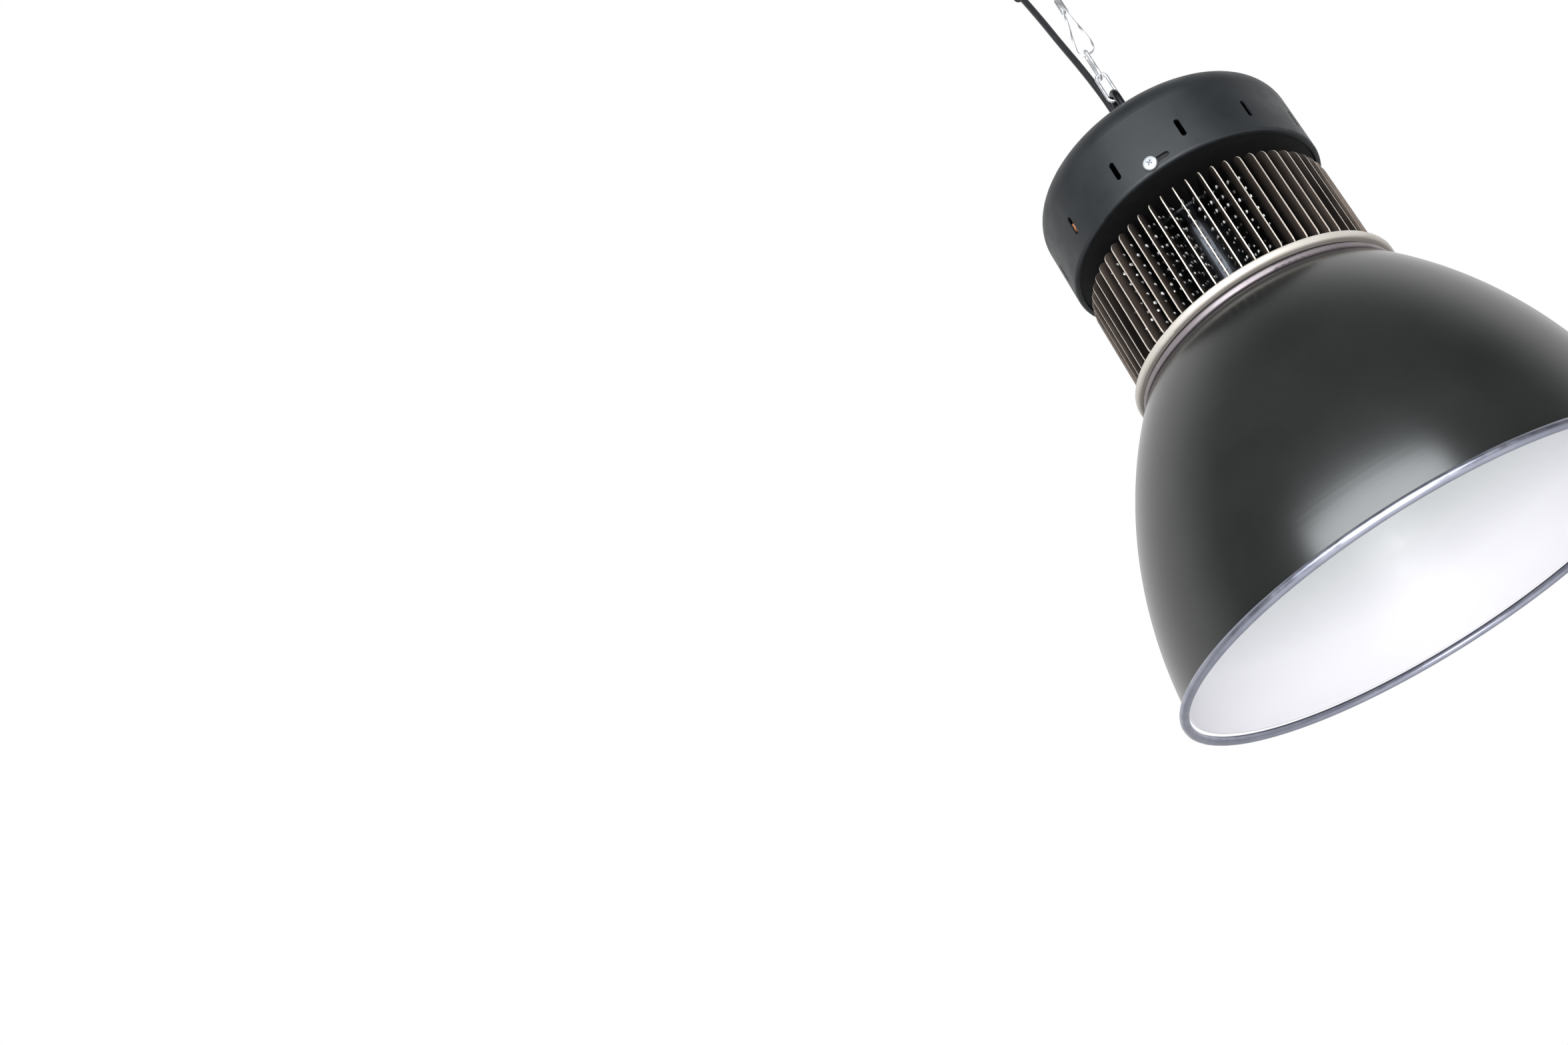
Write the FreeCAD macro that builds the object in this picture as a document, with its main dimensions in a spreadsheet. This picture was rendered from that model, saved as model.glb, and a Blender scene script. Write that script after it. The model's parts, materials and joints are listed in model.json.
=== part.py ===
import FreeCAD, Part
import Sketcher
import math
import os
import re

# High bay light hanging from a wire rope and two chain links. Millimetres, +Z up, origin in the ceiling
# fitting's top face, on the axis that the rope, the links and the light hang on.

DIMS = [
    # ceiling fitting and wire rope
    ("fitting_radius", 8.0, "ceiling fitting, outside"),
    ("fitting_length", 26.0, "ceiling fitting, end to end"),
    ("fitting_cone", 3.0, "taper of the fitting's lower half, on the radius"),
    ("stud_hole_radius", 2.55, "tapped hole for the ceiling stud"),
    ("stud_hole_depth", 12.0, "depth of the tapped hole"),
    ("rope_radius", 1.0, "steel wire rope"),
    ("rope_drop", 190.8, "ceiling to the middle of the loop's lowest wire"),
    ("loop_height", 48.0, "loop, from its lowest wire to the ferrule's foot"),
    ("rope_grip", 9.0, "rope inside the ceiling fitting"),
    ("strand_spacing", 2.1, "the loop's two strands in the ferrule"),
    ("strand_offset", 3.4, "the first of them beside the axis"),
    ("ferrule_length", 14.0, "crimped ferrule"),
    ("ferrule_wall", 1.3, "ferrule's wall round the two strands"),
    # chain and eye
    ("hang_gap", 0.15, "play between wires that hang in each other"),
    ("link_wire_radius", 1.5, "chain link wire"),
    ("link_half_width", 4.5, "chain link, axis to wire middle"),
    ("link_pitch", 26.0, "chain link, inside length"),
    ("eye_wire_radius", 3.0, "hanging eye's bar"),
    ("eye_half_width", 11.0, "hanging eye, axis to bar middle"),
    ("eye_height", 55.0, "hanging eye, between its bar's middles"),
    ("eye_stand", 21.0, "eye's lowest bar above the housing's crown"),
    ("shank_radius", 4.0, "threaded shank of the eye"),
    ("shank_reach", 14.0, "shank below the crown's outer face"),
    ("shoulder_flare", 1.6, "shank's shoulder beyond the thread, on the radius"),
    ("shoulder_height", 3.0, "half of the shank's shoulder, below the eye's lowest bar's middle"),
    ("shoulder_rise", 5.4, "shoulder's top above that middle"),
    ("end_chamfer", 1.0, "chamfers on turned ends"),
    ("nut_width", 13.0, "hexagon nuts, across flats"),
    ("nut_height", 6.5, "hexagon nuts"),
    ("washer_radius", 12.0, "washers"),
    ("washer_thickness", 1.6, "washers"),
    ("thread_gap", 0.2, "clearance round shanks"),
    # driver housing
    ("housing_radius", 110.4, "drum, outside"),
    ("housing_height", 74.0, "drum, foot to crown"),
    ("housing_wall", 1.5, "drum, sheet"),
    ("crown_round", 22.5, "drum, outer radius of the crown's edge"),
    ("lip_round", 2.2, "drum, outer radius of the turned-in foot"),
    ("lip_width", 4.0, "drum, width of the turned-in foot"),
    ("vent_count", 12, "vent slots round the drum"),
    ("vent_width", 4.2, "vent slot"),
    ("vent_length", 16.0, "vent slot, end to end"),
    ("vent_height", 21.4, "vent slot's middle above the foot"),
    ("screw_count", 3, "housing screws"),
    ("screw_height", 7.4, "housing screw above the foot"),
    ("screw_angle", -107.0, "first housing screw, about the axis"),
    ("bayonet_turn", 7.0, "turn from the screw to the bayonet slot's far end, degrees"),
    ("bayonet_width", 4.6, "bayonet slot"),
    ("screw_head_radius", 5.6, "housing screw's head"),
    ("screw_head_height", 2.6, "housing screw's head"),
    ("screw_radius", 2.0, "housing screw's shank"),
    ("screw_length", 7.0, "housing screw's shank"),
    # driver and its plate
    ("plate_rise", 2.6, "driver plate's underside above the housing's foot"),
    ("plate_thickness", 2.0, "driver plate"),
    ("plate_flange", 10.0, "driver plate's flange above its underside"),
    ("plate_round", 3.0, "driver plate, outer radius of its bend"),
    ("skirt_gap", 0.3, "play between flange and drum"),
    ("driver_length", 128.0, "driver can"),
    ("driver_width", 52.0, "driver can"),
    ("driver_height", 34.0, "driver can"),
    ("driver_offset", 8.0, "driver can's middle in front of the axis"),
    ("driver_round", 5.0, "driver can's upright edges"),
    ("driver_foot", 9.0, "driver's fixing ears beyond the can"),
    ("driver_foot_thickness", 2.0, "driver's fixing ears"),
    ("block_length", 34.0, "terminal block"),
    ("block_width", 18.0, "terminal block"),
    ("block_height", 22.0, "terminal block"),
    # cable gland and cable
    ("gland_offset", 30.0, "gland's middle behind the axis"),
    ("gland_thread_radius", 8.0, "gland's thread"),
    ("gland_flats", 20.0, "gland's hexagon, across flats"),
    ("gland_hex_height", 6.0, "gland's hexagon"),
    ("gland_cap_height", 17.0, "gland's domed nut"),
    ("gland_cap_radius", 9.6, "gland's domed nut"),
    ("cap_dome_height", 6.0, "domed part of that nut"),
    ("cap_dome_width", 4.6, "that dome, on the radius"),
    ("cap_dome_round", 7.5, "that dome's radius"),
    ("gland_reach", 11.0, "gland's thread below the crown's outer face"),
    ("gland_nut_height", 5.0, "gland's lock nut"),
    ("cable_radius", 3.0, "mains cable"),
    ("cable_gap", 0.35, "play round the cable in the gland"),
    ("connector_radius", 7.5, "connector at the cable's upper end"),
    ("connector_length", 26.0, "connector at the cable's upper end"),
    ("connector_seat", 1.0, "cable's end inside the connector"),
    ("connector_edge", 1.5, "chamfer on the connector's top"),
    ("strain_nut_length", 8.0, "nut below the connector"),
    ("strain_nut_inset", 1.0, "that nut inside the connector's outside, on the radius"),
    ("strain_nut_cone", 2.0, "cone at that nut's foot"),
    ("contact_count", 3, "connector's contacts"),
    ("contact_radius", 1.2, "connector's contacts"),
    ("contact_length", 7.0, "connector's contacts"),
    # heat sink
    ("post_count", 6, "posts between heat sink and driver plate"),
    ("post_radius", 4.0, "post"),
    ("post_spigot", 2.5, "post's ends in both plates"),
    ("post_circle", 52.0, "posts' circle"),
    ("post_height", 13.0, "posts"),
    ("cover_radius", 66.0, "plate on the fins' tops"),
    ("cover_thickness", 2.0, "plate on the fins' tops"),
    ("fin_count", 60, "radial fins"),
    ("fin_radius", 106.2, "fins' outer edges"),
    ("fin_height", 92.2, "fins, foot to top"),
    ("fin_thickness", 1.4, "fin sheet"),
    ("fin_round", 13.0, "fins' outer corners"),
    ("fin_angle", 3.0, "first fin, about the axis"),
    ("hub_radius", 42.0, "fins' hub, outside"),
    ("hub_wall", 4.0, "fins' hub"),
    ("base_radius", 114.6, "base ring, outside"),
    ("base_thickness", 6.4, "base ring"),
    ("base_round", 2.4, "base ring's outer edges"),
    ("core_height", 46.0, "core inside the hub"),
    ("core_gap", 0.2, "play between core and hub"),
    ("lead_radius", 1.1, "leads to the LED"),
    ("lead_offset", 19.0, "leads either side of the axis"),
    ("middle_hole_radius", 24.0, "hole in the middle of both plates"),
    # reflector and its collar
    ("gasket_radius", 108.4, "gasket below the base"),
    ("gasket_thickness", 2.4, "gasket below the base"),
    ("collar_radius", 111.6, "reflector collar, outside"),
    ("collar_thickness", 5.0, "reflector collar"),
    ("collar_round", 1.6, "reflector collar's outer edges"),
    ("rim_radius", 205.0, "reflector, outside its bead"),
    ("bead_radius", 3.5, "reflector's rolled bead"),
    ("bead_bite", 1.4, "flat on the bead's inner side, inside its round"),
    ("bead_inset", 8.0, "reflector's side above the bead, inside the rim's radius"),
    ("dome_height", 229.5, "reflector, rim to top face"),
    ("dome_arc", 357.0, "reflector, outer radius of its side's arc"),
    ("dome_centre_drop", 3.5, "that arc's middle below the rim"),
    ("dome_round", 8.0, "reflector, outer radius of its shoulder"),
    ("dome_wall", 1.5, "reflector, sheet"),
    ("mouth_radius", 58.0, "reflector's hole for the light"),
    ("collar_screw_count", 6, "reflector's screws"),
    ("collar_screw_circle", 80.0, "reflector's screws' circle"),
    # LED
    ("led_half", 14.0, "LED board, half its side"),
    ("led_thickness", 1.6, "LED board"),
    ("pad_thickness", 0.4, "thermal pad"),
    ("emitter_radius", 10.0, "LED's phosphor disc"),
    ("emitter_height", 0.8, "LED's phosphor disc"),
    ("holder_radius", 26.0, "LED holder"),
    ("holder_height", 3.6, "LED holder"),
    ("holder_opening", 11.5, "LED holder's opening"),
    ("holder_screw_inset", 4.5, "its screws, from its outside"),
    ("glass_thickness", 3.0, "cover glass"),
    ("glass_ring_wall", 3.0, "ring that holds the cover glass"),
    ("glass_ring_flange", 88.0, "that ring's flange, outside"),
    ("glass_ring_sheet", 1.5, "that ring's flange"),
    ("small_screw_radius", 1.5, "small screws"),
    ("small_screw_bite", 5.0, "small screws in what they are screwed into"),
    ("small_head_radius", 2.8, "small screws' heads"),
    ("small_head_height", 1.8, "small screws' heads"),
    ("head_round_share", 0.55, "share of a screw head's height that is rounded"),
    ("hole_reserve", 0.5, "blind holes beyond their screws"),
    ("seat_gap", 0.2, "play round inner pieces"),
]

# Heights above the ceiling fitting's top face, worked out from the sizes, each from the one above it.
LEVELS = [
    ("loop_low", "-rope_drop"),
    ("ferrule_low", "loop_low + loop_height"),
    ("upper_top", "loop_low + rope_radius + link_wire_radius + hang_gap"),
    ("upper_low", "upper_top - link_pitch - 2 * link_wire_radius"),
    ("lower_top", "upper_low + 2 * link_wire_radius + hang_gap"),
    ("lower_low", "lower_top - link_pitch - 2 * link_wire_radius"),
    ("eye_top", "lower_low + link_wire_radius + eye_wire_radius + hang_gap"),
    ("eye_low", "eye_top - eye_height"),
    ("crown", "eye_low - eye_stand"),
    ("housing_low", "crown - housing_height"),
    ("plate_low", "housing_low + plate_rise"),
    ("plate_top", "plate_low + plate_thickness"),
    ("cover_top", "plate_low - post_height"),
    ("fins_top", "cover_top - cover_thickness"),
    ("fins_low", "fins_top - fin_height"),
    ("base_low", "fins_low - base_thickness"),
    ("gasket_low", "base_low - gasket_thickness"),
    ("collar_low", "gasket_low - collar_thickness"),
    ("rim_low", "collar_low - dome_height"),
    ("glass_ring_low", "collar_low - dome_wall - glass_ring_sheet"),
]

doc = FreeCAD.newDocument("HighBayLight")
sheet = doc.addObject("Spreadsheet::Sheet", "Dims")
for row, (alias, value, remark) in enumerate(DIMS, start=1):
    sheet.set("A%d" % row, alias)
    sheet.set("B%d" % row, str(value))
    sheet.set("C%d" % row, remark)
    sheet.setAlias("B%d" % row, alias)
doc.recompute()

dimNames = {alias for alias, value, remark in DIMS}
levelNames = {name for name, rule in LEVELS}


def bound(rule):
    # a rule in plain names, with each name led to the sheet or to the levels
    def lead(match):
        word = match.group(0)
        if word in dimNames:
            return "Dims." + word
        if word in levelNames:
            return "Levels." + word
        return word
    return re.sub(r"[A-Za-z_]\w*", lead, rule)


levels = doc.addObject("App::VarSet", "Levels")
for name, rule in LEVELS:
    levels.addProperty("App::PropertyFloat", name)
    levels.setExpression(name, bound(rule))
doc.recompute()


def size(rule):
    # the number that a rule gives now
    result = levels.evalExpression(bound(rule))
    return float(getattr(result, "Value", result))


parts = []


def keep(obj, label):
    obj.Label = label
    parts.append(obj)
    return obj


def raiseTo(obj, rule):
    obj.setExpression(".Placement.Base.z", bound(rule))


def newBody(name):
    body = doc.addObject("PartDesign::Body", name)
    body.AllowCompound = True
    return body


def plane(body, role):
    return next(f for f in body.Origin.OriginFeatures if f.Role == role)


def newSketch(body, name, role="XZ_Plane", lift=None):
    sketch = body.newObject("Sketcher::SketchObject", name)
    sketch.AttachmentSupport = [(plane(body, role), "")]
    sketch.MapMode = "FlatFace"
    if lift:
        sketch.setExpression(".AttachmentOffset.Base.z", bound(lift))
    return sketch


def pin(sketch, geo, pos, across, up):
    # holds one point of the sketch at the coordinates that two rules give
    for kind, rule, axis in (("DistanceX", across, -2), ("DistanceY", up, -1)):
        if rule == "0":
            sketch.addConstraint(Sketcher.Constraint("PointOnObject", geo, pos, axis))
            continue
        index = sketch.addConstraint(Sketcher.Constraint(kind, -1, 1, geo, pos, size(rule)))
        sketch.setExpression("Constraints[%d]" % index, bound(rule))


def outline(sketch, points, arcs=None):
    # closed line through the points; arcs[i] = (radius rule, +1 or -1) bends the side after point i,
    # with the arc's middle to the left (+1) or to the right (-1) of the way along that side
    arcs = arcs or {}
    spots = [FreeCAD.Vector(size(a), size(b), 0) for a, b in points]
    for i, start in enumerate(spots):
        end = spots[(i + 1) % len(spots)]
        if i not in arcs:
            sketch.addGeometry(Part.LineSegment(start, end), False)
            continue
        radius = size(arcs[i][0])
        chord = end - start
        left = FreeCAD.Vector(-chord.y, chord.x, 0).normalize()
        offset = math.sqrt(max(radius ** 2 - (chord.Length / 2) ** 2, 0))
        centre = (start + end) / 2 + left * offset * arcs[i][1]
        middle = centre - left * radius * arcs[i][1]
        arc = Part.Arc(start, middle, end)
        sketch.addGeometry(arc, False)
    ends = []
    for i, start in enumerate(spots):
        first = sketch.getPoint(i, 1)
        ends.append((1, 2) if (first - start).Length < 1e-6 else (2, 1))
    for i in range(len(spots)):
        after = (i + 1) % len(spots)
        sketch.addConstraint(Sketcher.Constraint("Coincident", i, ends[i][1], after, ends[after][0]))
        pin(sketch, i, ends[i][0], *points[i])
        if i in arcs:
            index = sketch.addConstraint(Sketcher.Constraint("Radius", i, size(arcs[i][0])))
            sketch.setExpression("Constraints[%d]" % index, bound(arcs[i][0]))


def rectangle(sketch, halfLength, low, high):
    left = "-(%s)" % halfLength
    outline(sketch, [(left, low), (halfLength, low), (halfLength, high), (left, high)])


def revolve(body, sketch, name):
    turn = body.newObject("PartDesign::Revolution", name)
    turn.Profile = sketch
    turn.ReferenceAxis = (sketch, ["V_Axis"])
    turn.Angle = 360
    return turn


def turned(name, points, arcs=None, level=None):
    # a body turned about its own Z axis from a section given as (radius, height) rules
    body = newBody(name)
    sketch = newSketch(body, name + "_section")
    outline(sketch, points, arcs)
    body.Tip = revolve(body, sketch, name + "_turned")
    if level:
        raiseTo(body, level)
    return body


def padded(body, sketch, name, height, middle=False):
    pad = body.newObject("PartDesign::Pad", name)
    pad.Profile = sketch
    pad.setExpression("Length", bound(height))
    pad.Midplane = middle
    body.Tip = pad
    return pad


def polar(body, feature, name, count):
    pattern = body.newObject("PartDesign::PolarPattern", name)
    pattern.Originals = [feature]
    pattern.Axis = (plane(body, "Z_Axis"), [""])
    pattern.Angle = 360
    pattern.setExpression("Occurrences", bound(count))
    body.Tip = pattern
    return pattern


def cutThrough(body, sketch, name, reverse):
    pocket = body.newObject("PartDesign::Pocket", name)
    pocket.Profile = sketch
    pocket.Type = 1
    pocket.Reversed = reverse
    body.Tip = pocket
    return pocket


def turnSketch(sketch, rule):
    # turns an upright sketch about the body's axis by the degrees that the rule gives
    upright = FreeCAD.Rotation(FreeCAD.Vector(0, 1, 0), 1)
    sketch.AttachmentOffset = FreeCAD.Placement(FreeCAD.Vector(), upright)
    sketch.setExpression(".AttachmentOffset.Rotation.Angle", bound(rule))


def drill(body, name, across, up, radius, depth=None, role="XY_Plane", turn=None):
    # one round hole: up through the body, or to a depth from the sketch's plane
    sketch = newSketch(body, name + "_sketch", role)
    if turn:
        turnSketch(sketch, turn)
    spot = FreeCAD.Vector(size(across), size(up), 0)
    sketch.addGeometry(Part.Circle(spot, FreeCAD.Vector(0, 0, 1), size(radius)))
    pin(sketch, 0, 3, across, up)
    index = sketch.addConstraint(Sketcher.Constraint("Radius", 0, size(radius)))
    sketch.setExpression("Constraints[%d]" % index, bound(radius))
    pocket = cutThrough(body, sketch, name, True)
    if depth:
        pocket.Type = 0
        pocket.setExpression("Length", bound(depth))
    return pocket


def slotted(sketch, ends, half):
    # a slot with round ends between two middles, given as (across, up) rules
    (ax, ay), (bx, by) = [(size(a), size(b)) for a, b in ends]
    reach = size(half)
    start, end = FreeCAD.Vector(ax, ay, 0), FreeCAD.Vector(bx, by, 0)
    along = (end - start).normalize()
    side = FreeCAD.Vector(-along.y, along.x, 0) * reach
    sketch.addGeometry(Part.LineSegment(start - side, end - side), False)
    sketch.addGeometry(Part.Arc(end - side, end + along * reach, end + side), False)
    sketch.addGeometry(Part.LineSegment(end + side, start + side), False)
    sketch.addGeometry(Part.Arc(start + side, start - along * reach, start - side), False)
    for line, arc in ((0, 1), (2, 1), (2, 3), (0, 3)):
        close = []
        for linePos in (1, 2):
            for arcPos in (1, 2):
                gap = (sketch.getPoint(line, linePos) - sketch.getPoint(arc, arcPos)).Length
                close.append((gap, linePos, arcPos))
        gap, linePos, arcPos = min(close)
        sketch.addConstraint(Sketcher.Constraint("Tangent", line, linePos, arc, arcPos))
    pin(sketch, 1, 3, *ends[1])
    pin(sketch, 3, 3, *ends[0])
    index = sketch.addConstraint(Sketcher.Constraint("Radius", 1, reach))
    sketch.setExpression("Constraints[%d]" % index, bound(half))


def wireRing(name, upright, halfWidth, halfHeight, wireRadius):
    # an oval of round bar about the body's origin, in the YZ plane or the XZ plane: two straight sides,
    # and an arch at each end
    body = newBody(name)
    straight = "((%s) - (%s))" % (halfHeight, halfWidth)

    def wireSection(sketch, place):
        across, up = ("0", place) if upright == "YZ_Plane" else (place, "0")
        spot = FreeCAD.Vector(size(across), size(up), 0)
        geo = sketch.addGeometry(Part.Circle(spot, FreeCAD.Vector(0, 0, 1), size(wireRadius)))
        pin(sketch, geo, 3, across, up)
        index = sketch.addConstraint(Sketcher.Constraint("Radius", geo, size(wireRadius)))
        sketch.setExpression("Constraints[%d]" % index, bound(wireRadius))

    sides = newSketch(body, name + "_sides", "XY_Plane")
    wireSection(sides, halfWidth)
    wireSection(sides, "-(%s)" % halfWidth)
    padded(body, sides, name + "_bars", "2 * " + straight, middle=True)
    for end, lift in (("top", straight), ("foot", "-" + straight)):
        section = newSketch(body, name + "_" + end + "_section", "XY_Plane", lift=lift)
        wireSection(section, halfWidth)
        arch = body.newObject("PartDesign::Revolution", name + "_" + end)
        arch.Profile = section
        arch.ReferenceAxis = (section, ["H_Axis" if upright == "YZ_Plane" else "V_Axis"])
        arch.Angle = 180
        arch.Reversed = (end == "top") != (upright == "YZ_Plane")
        body.Tip = arch
    return body


def hexNut(name, flats, height, hole, level, offset="0"):
    blank = doc.addObject("Part::Prism", name + "_blank")
    blank.Polygon = 6
    blank.setExpression("Circumradius", bound("(%s) / sqrt(3)" % flats))
    blank.setExpression("Height", bound(height))
    bore = doc.addObject("Part::Cylinder", name + "_bore")
    bore.setExpression("Radius", bound(hole))
    bore.setExpression("Height", bound(height))
    cut = doc.addObject("Part::Cut", name)
    cut.Base = blank
    cut.Tool = bore
    cut.setExpression(".Placement.Base.y", bound(offset))
    raiseTo(cut, level)
    return cut


def tube(route, radius):
    # straight runs joined by tangent arcs, each as large as its two runs allow
    edges, radii = [], []
    here = route[0]
    for before, corner, after in zip(route, route[1:], route[2:]):
        back, ahead = before - corner, after - corner
        half = (math.pi - back.getAngle(ahead)) / 2
        reach = 0.45 * min(back.Length, ahead.Length)
        radii.append(reach / math.tan(half))
        entry = corner + back.normalize() * reach
        leave = corner + ahead.normalize() * reach
        inward = (back + ahead).normalize()
        middle = corner + inward * (radii[-1] / math.cos(half) - radii[-1])
        edges.append(Part.LineSegment(here, entry).toShape())
        edges.append(Part.Arc(entry, middle, leave).toShape())
        here = leave
    edges.append(Part.LineSegment(here, route[-1]).toShape())
    path = Part.Wire(edges)
    disc = Part.Wire([Part.Circle(route[0], route[1] - route[0], radius).toShape()])
    solid = path.makePipeShell([disc], True, False)
    return solid, radii, path.Length


def cord(name, route, radius):
    solid, radii, length = tube(route, radius)
    expected = math.pi * radius ** 2 * length
    print("%s: %.0f mm long, radii %s mm, volume %.4f of section times length"
          % (name, length, ", ".join("%.1f" % r for r in radii), solid.Volume / expected))
    feature = doc.addObject("Part::Feature", name)
    feature.Shape = solid
    return feature


def screws(name, places, headRadius, headHeight, shankRadius, shankLength):
    # a group of like screws, each with its head's underside at its place and its shank along -Z from there
    shapes = []
    for place in places:
        head = Part.makeCylinder(headRadius, headHeight)
        top = [e for e in head.Edges if abs(e.CenterOfMass.z - headHeight) < 1e-6 and len(e.Vertexes) == 1]
        head = head.makeFillet(headHeight * size("head_round_share"), top)
        shank = Part.makeCylinder(shankRadius, shankLength, FreeCAD.Vector(0, 0, -shankLength))
        screw = head.fuse(shank).removeSplitter()
        screw.Placement = place
        shapes.append(screw)
    feature = doc.addObject("Part::Feature", name)
    feature.Shape = Part.Compound(shapes)
    return feature


def around(count, circle, height, first=0.0, down=False):
    # places on a circle about the axis, with the screws' heads up or down
    flip = FreeCAD.Rotation(FreeCAD.Vector(1, 0, 0), 180 if down else 0)
    spots = []
    for k in range(int(count)):
        angle = math.radians(first + 360.0 * k / count)
        spots.append(FreeCAD.Placement(
            FreeCAD.Vector(circle * math.cos(angle), circle * math.sin(angle), height), flip))
    return spots


# Ceiling fitting, wire rope and ferrule -------------------------------------------------------------------

keep(turned("ceiling_fitting", [
    ("rope_radius", "0"),
    ("fitting_radius - fitting_cone", "0"),
    ("fitting_radius", "rope_grip"),
    ("fitting_radius", "fitting_length"),
    ("stud_hole_radius", "fitting_length"),
    ("stud_hole_radius", "fitting_length - stud_hole_depth"),
    ("0", "fitting_length - stud_hole_depth"),
    ("0", "rope_grip"),
    ("rope_radius", "rope_grip"),
], level="-fitting_length"), "ceiling_fitting")

# from the ceiling fitting down through the ferrule, round the loop and back up, above the loop's lowest wire
ropeTop = size("-fitting_length + rope_grip - loop_low")
live = size("strand_offset")
dead = size("strand_offset + strand_spacing")
ROPE_ROUTE = [
    (0.0, 0.0, ropeTop),
    (0.0, 0.0, 150.0),
    (live, 0.0, 67.0),
    (live, 0.0, 45.0),
    (-3.9, 0.0, 15.0),
    (-6.2, 0.0, 0.0),
    (8.6, 0.0, 0.0),
    (10.3, 0.0, 14.0),
    (dead, 0.0, 45.0),
    (dead, 0.0, size("loop_height + ferrule_length")),
]
ropeFoot = FreeCAD.Vector(0, 0, size("loop_low"))
rope = cord("suspension_wire", [FreeCAD.Vector(*p) + ropeFoot for p in ROPE_ROUTE], size("rope_radius"))
keep(rope, "suspension_wire")

sleeve = newBody("ferrule_sleeve")
sleeveSketch = newSketch(sleeve, "ferrule_section", "XY_Plane")
slotted(sleeveSketch, [("strand_offset", "0"), ("strand_offset + strand_spacing", "0")],
        "rope_radius + ferrule_wall")
padded(sleeve, sleeveSketch, "ferrule_pad", "ferrule_length")
raiseTo(sleeve, "ferrule_low")
ferrule = doc.addObject("Part::Cut", "ferrule")
ferrule.Base = sleeve
ferrule.Tool = rope
keep(ferrule, "ferrule")

# Chain links and hanging eye ------------------------------------------------------------------------------

LINK_HALF = "link_pitch / 2 + link_wire_radius"
for name, role, top in (
        ("chain_link_upper", "YZ_Plane", "upper_top"),
        ("chain_link_lower", "XZ_Plane", "lower_top")):
    link = wireRing(name, role, "link_half_width", LINK_HALF, "link_wire_radius")
    raiseTo(link, "%s - (%s)" % (top, LINK_HALF))
    keep(link, name)

eye = wireRing("hanging_eye", "YZ_Plane", "eye_half_width", "eye_height / 2", "eye_wire_radius")
shankSketch = newSketch(eye, "shank_section")
outline(shankSketch, [
    ("0", "-eye_height / 2 + shoulder_rise"),
    ("shank_radius + shoulder_flare - end_chamfer", "-eye_height / 2 + shoulder_rise"),
    ("shank_radius + shoulder_flare", "-eye_height / 2 + shoulder_rise - end_chamfer"),
    ("shank_radius + shoulder_flare", "-eye_height / 2 - 2 * shoulder_height"),
    ("shank_radius", "-eye_height / 2 - 2 * shoulder_height - shoulder_flare"),
    ("shank_radius", "-eye_height / 2 - eye_stand - shank_reach + end_chamfer"),
    ("shank_radius - end_chamfer", "-eye_height / 2 - eye_stand - shank_reach"),
    ("0", "-eye_height / 2 - eye_stand - shank_reach"),
])
eye.Tip = revolve(eye, shankSketch, "shank_turned")
raiseTo(eye, "eye_top - eye_height / 2")
keep(eye, "hanging_eye")

SHANK_HOLE = "shank_radius + thread_gap"
for name, level in (("eye_washer", "crown"), ("eye_inner_washer", "crown - housing_wall - washer_thickness")):
    keep(turned(name, [
        (SHANK_HOLE, "0"),
        ("washer_radius", "0"),
        ("washer_radius", "washer_thickness"),
        (SHANK_HOLE, "washer_thickness"),
    ], level=level), name)
keep(hexNut("eye_nut", "nut_width", "nut_height", SHANK_HOLE, "crown + washer_thickness"), "eye_nut")
keep(hexNut("eye_lock_nut", "nut_width", "nut_height", SHANK_HOLE,
            "crown - housing_wall - washer_thickness - nut_height"), "eye_lock_nut")

# Driver housing -------------------------------------------------------------------------------------------

housing = turned("driver_housing", [
    ("housing_radius - lip_width", "0"),
    ("housing_radius - lip_round", "0"),
    ("housing_radius", "lip_round"),
    ("housing_radius", "housing_height - crown_round"),
    ("housing_radius - crown_round", "housing_height"),
    (SHANK_HOLE, "housing_height"),
    (SHANK_HOLE, "housing_height - housing_wall"),
    ("housing_radius - crown_round", "housing_height - housing_wall"),
    ("housing_radius - housing_wall", "housing_height - crown_round"),
    ("housing_radius - housing_wall", "lip_round"),
    ("housing_radius - lip_round", "housing_wall"),
    ("housing_radius - lip_width", "housing_wall"),
], {
    1: ("lip_round", 1),
    3: ("crown_round", 1),
    7: ("crown_round - housing_wall", -1),
    9: ("lip_round - housing_wall", -1),
}, level="housing_low")
drill(housing, "gland_hole", "0", "gland_offset", "gland_thread_radius + thread_gap")
ventSketch = newSketch(housing, "vent_sketch", "YZ_Plane")
slotted(ventSketch, [
    ("0", "vent_height - vent_length / 2 + vent_width / 2"),
    ("0", "vent_height + vent_length / 2 - vent_width / 2"),
], "vent_width / 2")
vent = cutThrough(housing, ventSketch, "vent", True)
polar(housing, vent, "vents", "vent_count")
baySketch = newSketch(housing, "bayonet_sketch", "YZ_Plane")
turnSketch(baySketch, "screw_angle")
slotted(baySketch, [("0", "screw_height"), ("housing_radius * sin(bayonet_turn * 1deg)", "screw_height")],
        "bayonet_width / 2")
bay = cutThrough(housing, baySketch, "bayonet_slot", True)
polar(housing, bay, "bayonet_slots", "screw_count")
keep(housing, "driver_housing")

screwPlaces = []
for k in range(int(size("screw_count"))):
    turn = FreeCAD.Rotation(FreeCAD.Vector(0, 0, 1), size("screw_angle") + 360.0 * k / size("screw_count"))
    lay = FreeCAD.Rotation(FreeCAD.Vector(0, 1, 0), 90)
    spot = turn.multVec(FreeCAD.Vector(size("housing_radius"), 0, 0)) + FreeCAD.Vector(
        0, 0, size("housing_low + screw_height"))
    screwPlaces.append(FreeCAD.Placement(spot, turn.multiply(lay)))
keep(screws("housing_screws", screwPlaces, size("screw_head_radius"), size("screw_head_height"),
            size("screw_radius"), size("screw_length")), "housing_screws")

# Driver plate, driver and terminal block ------------------------------------------------------------------

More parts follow.
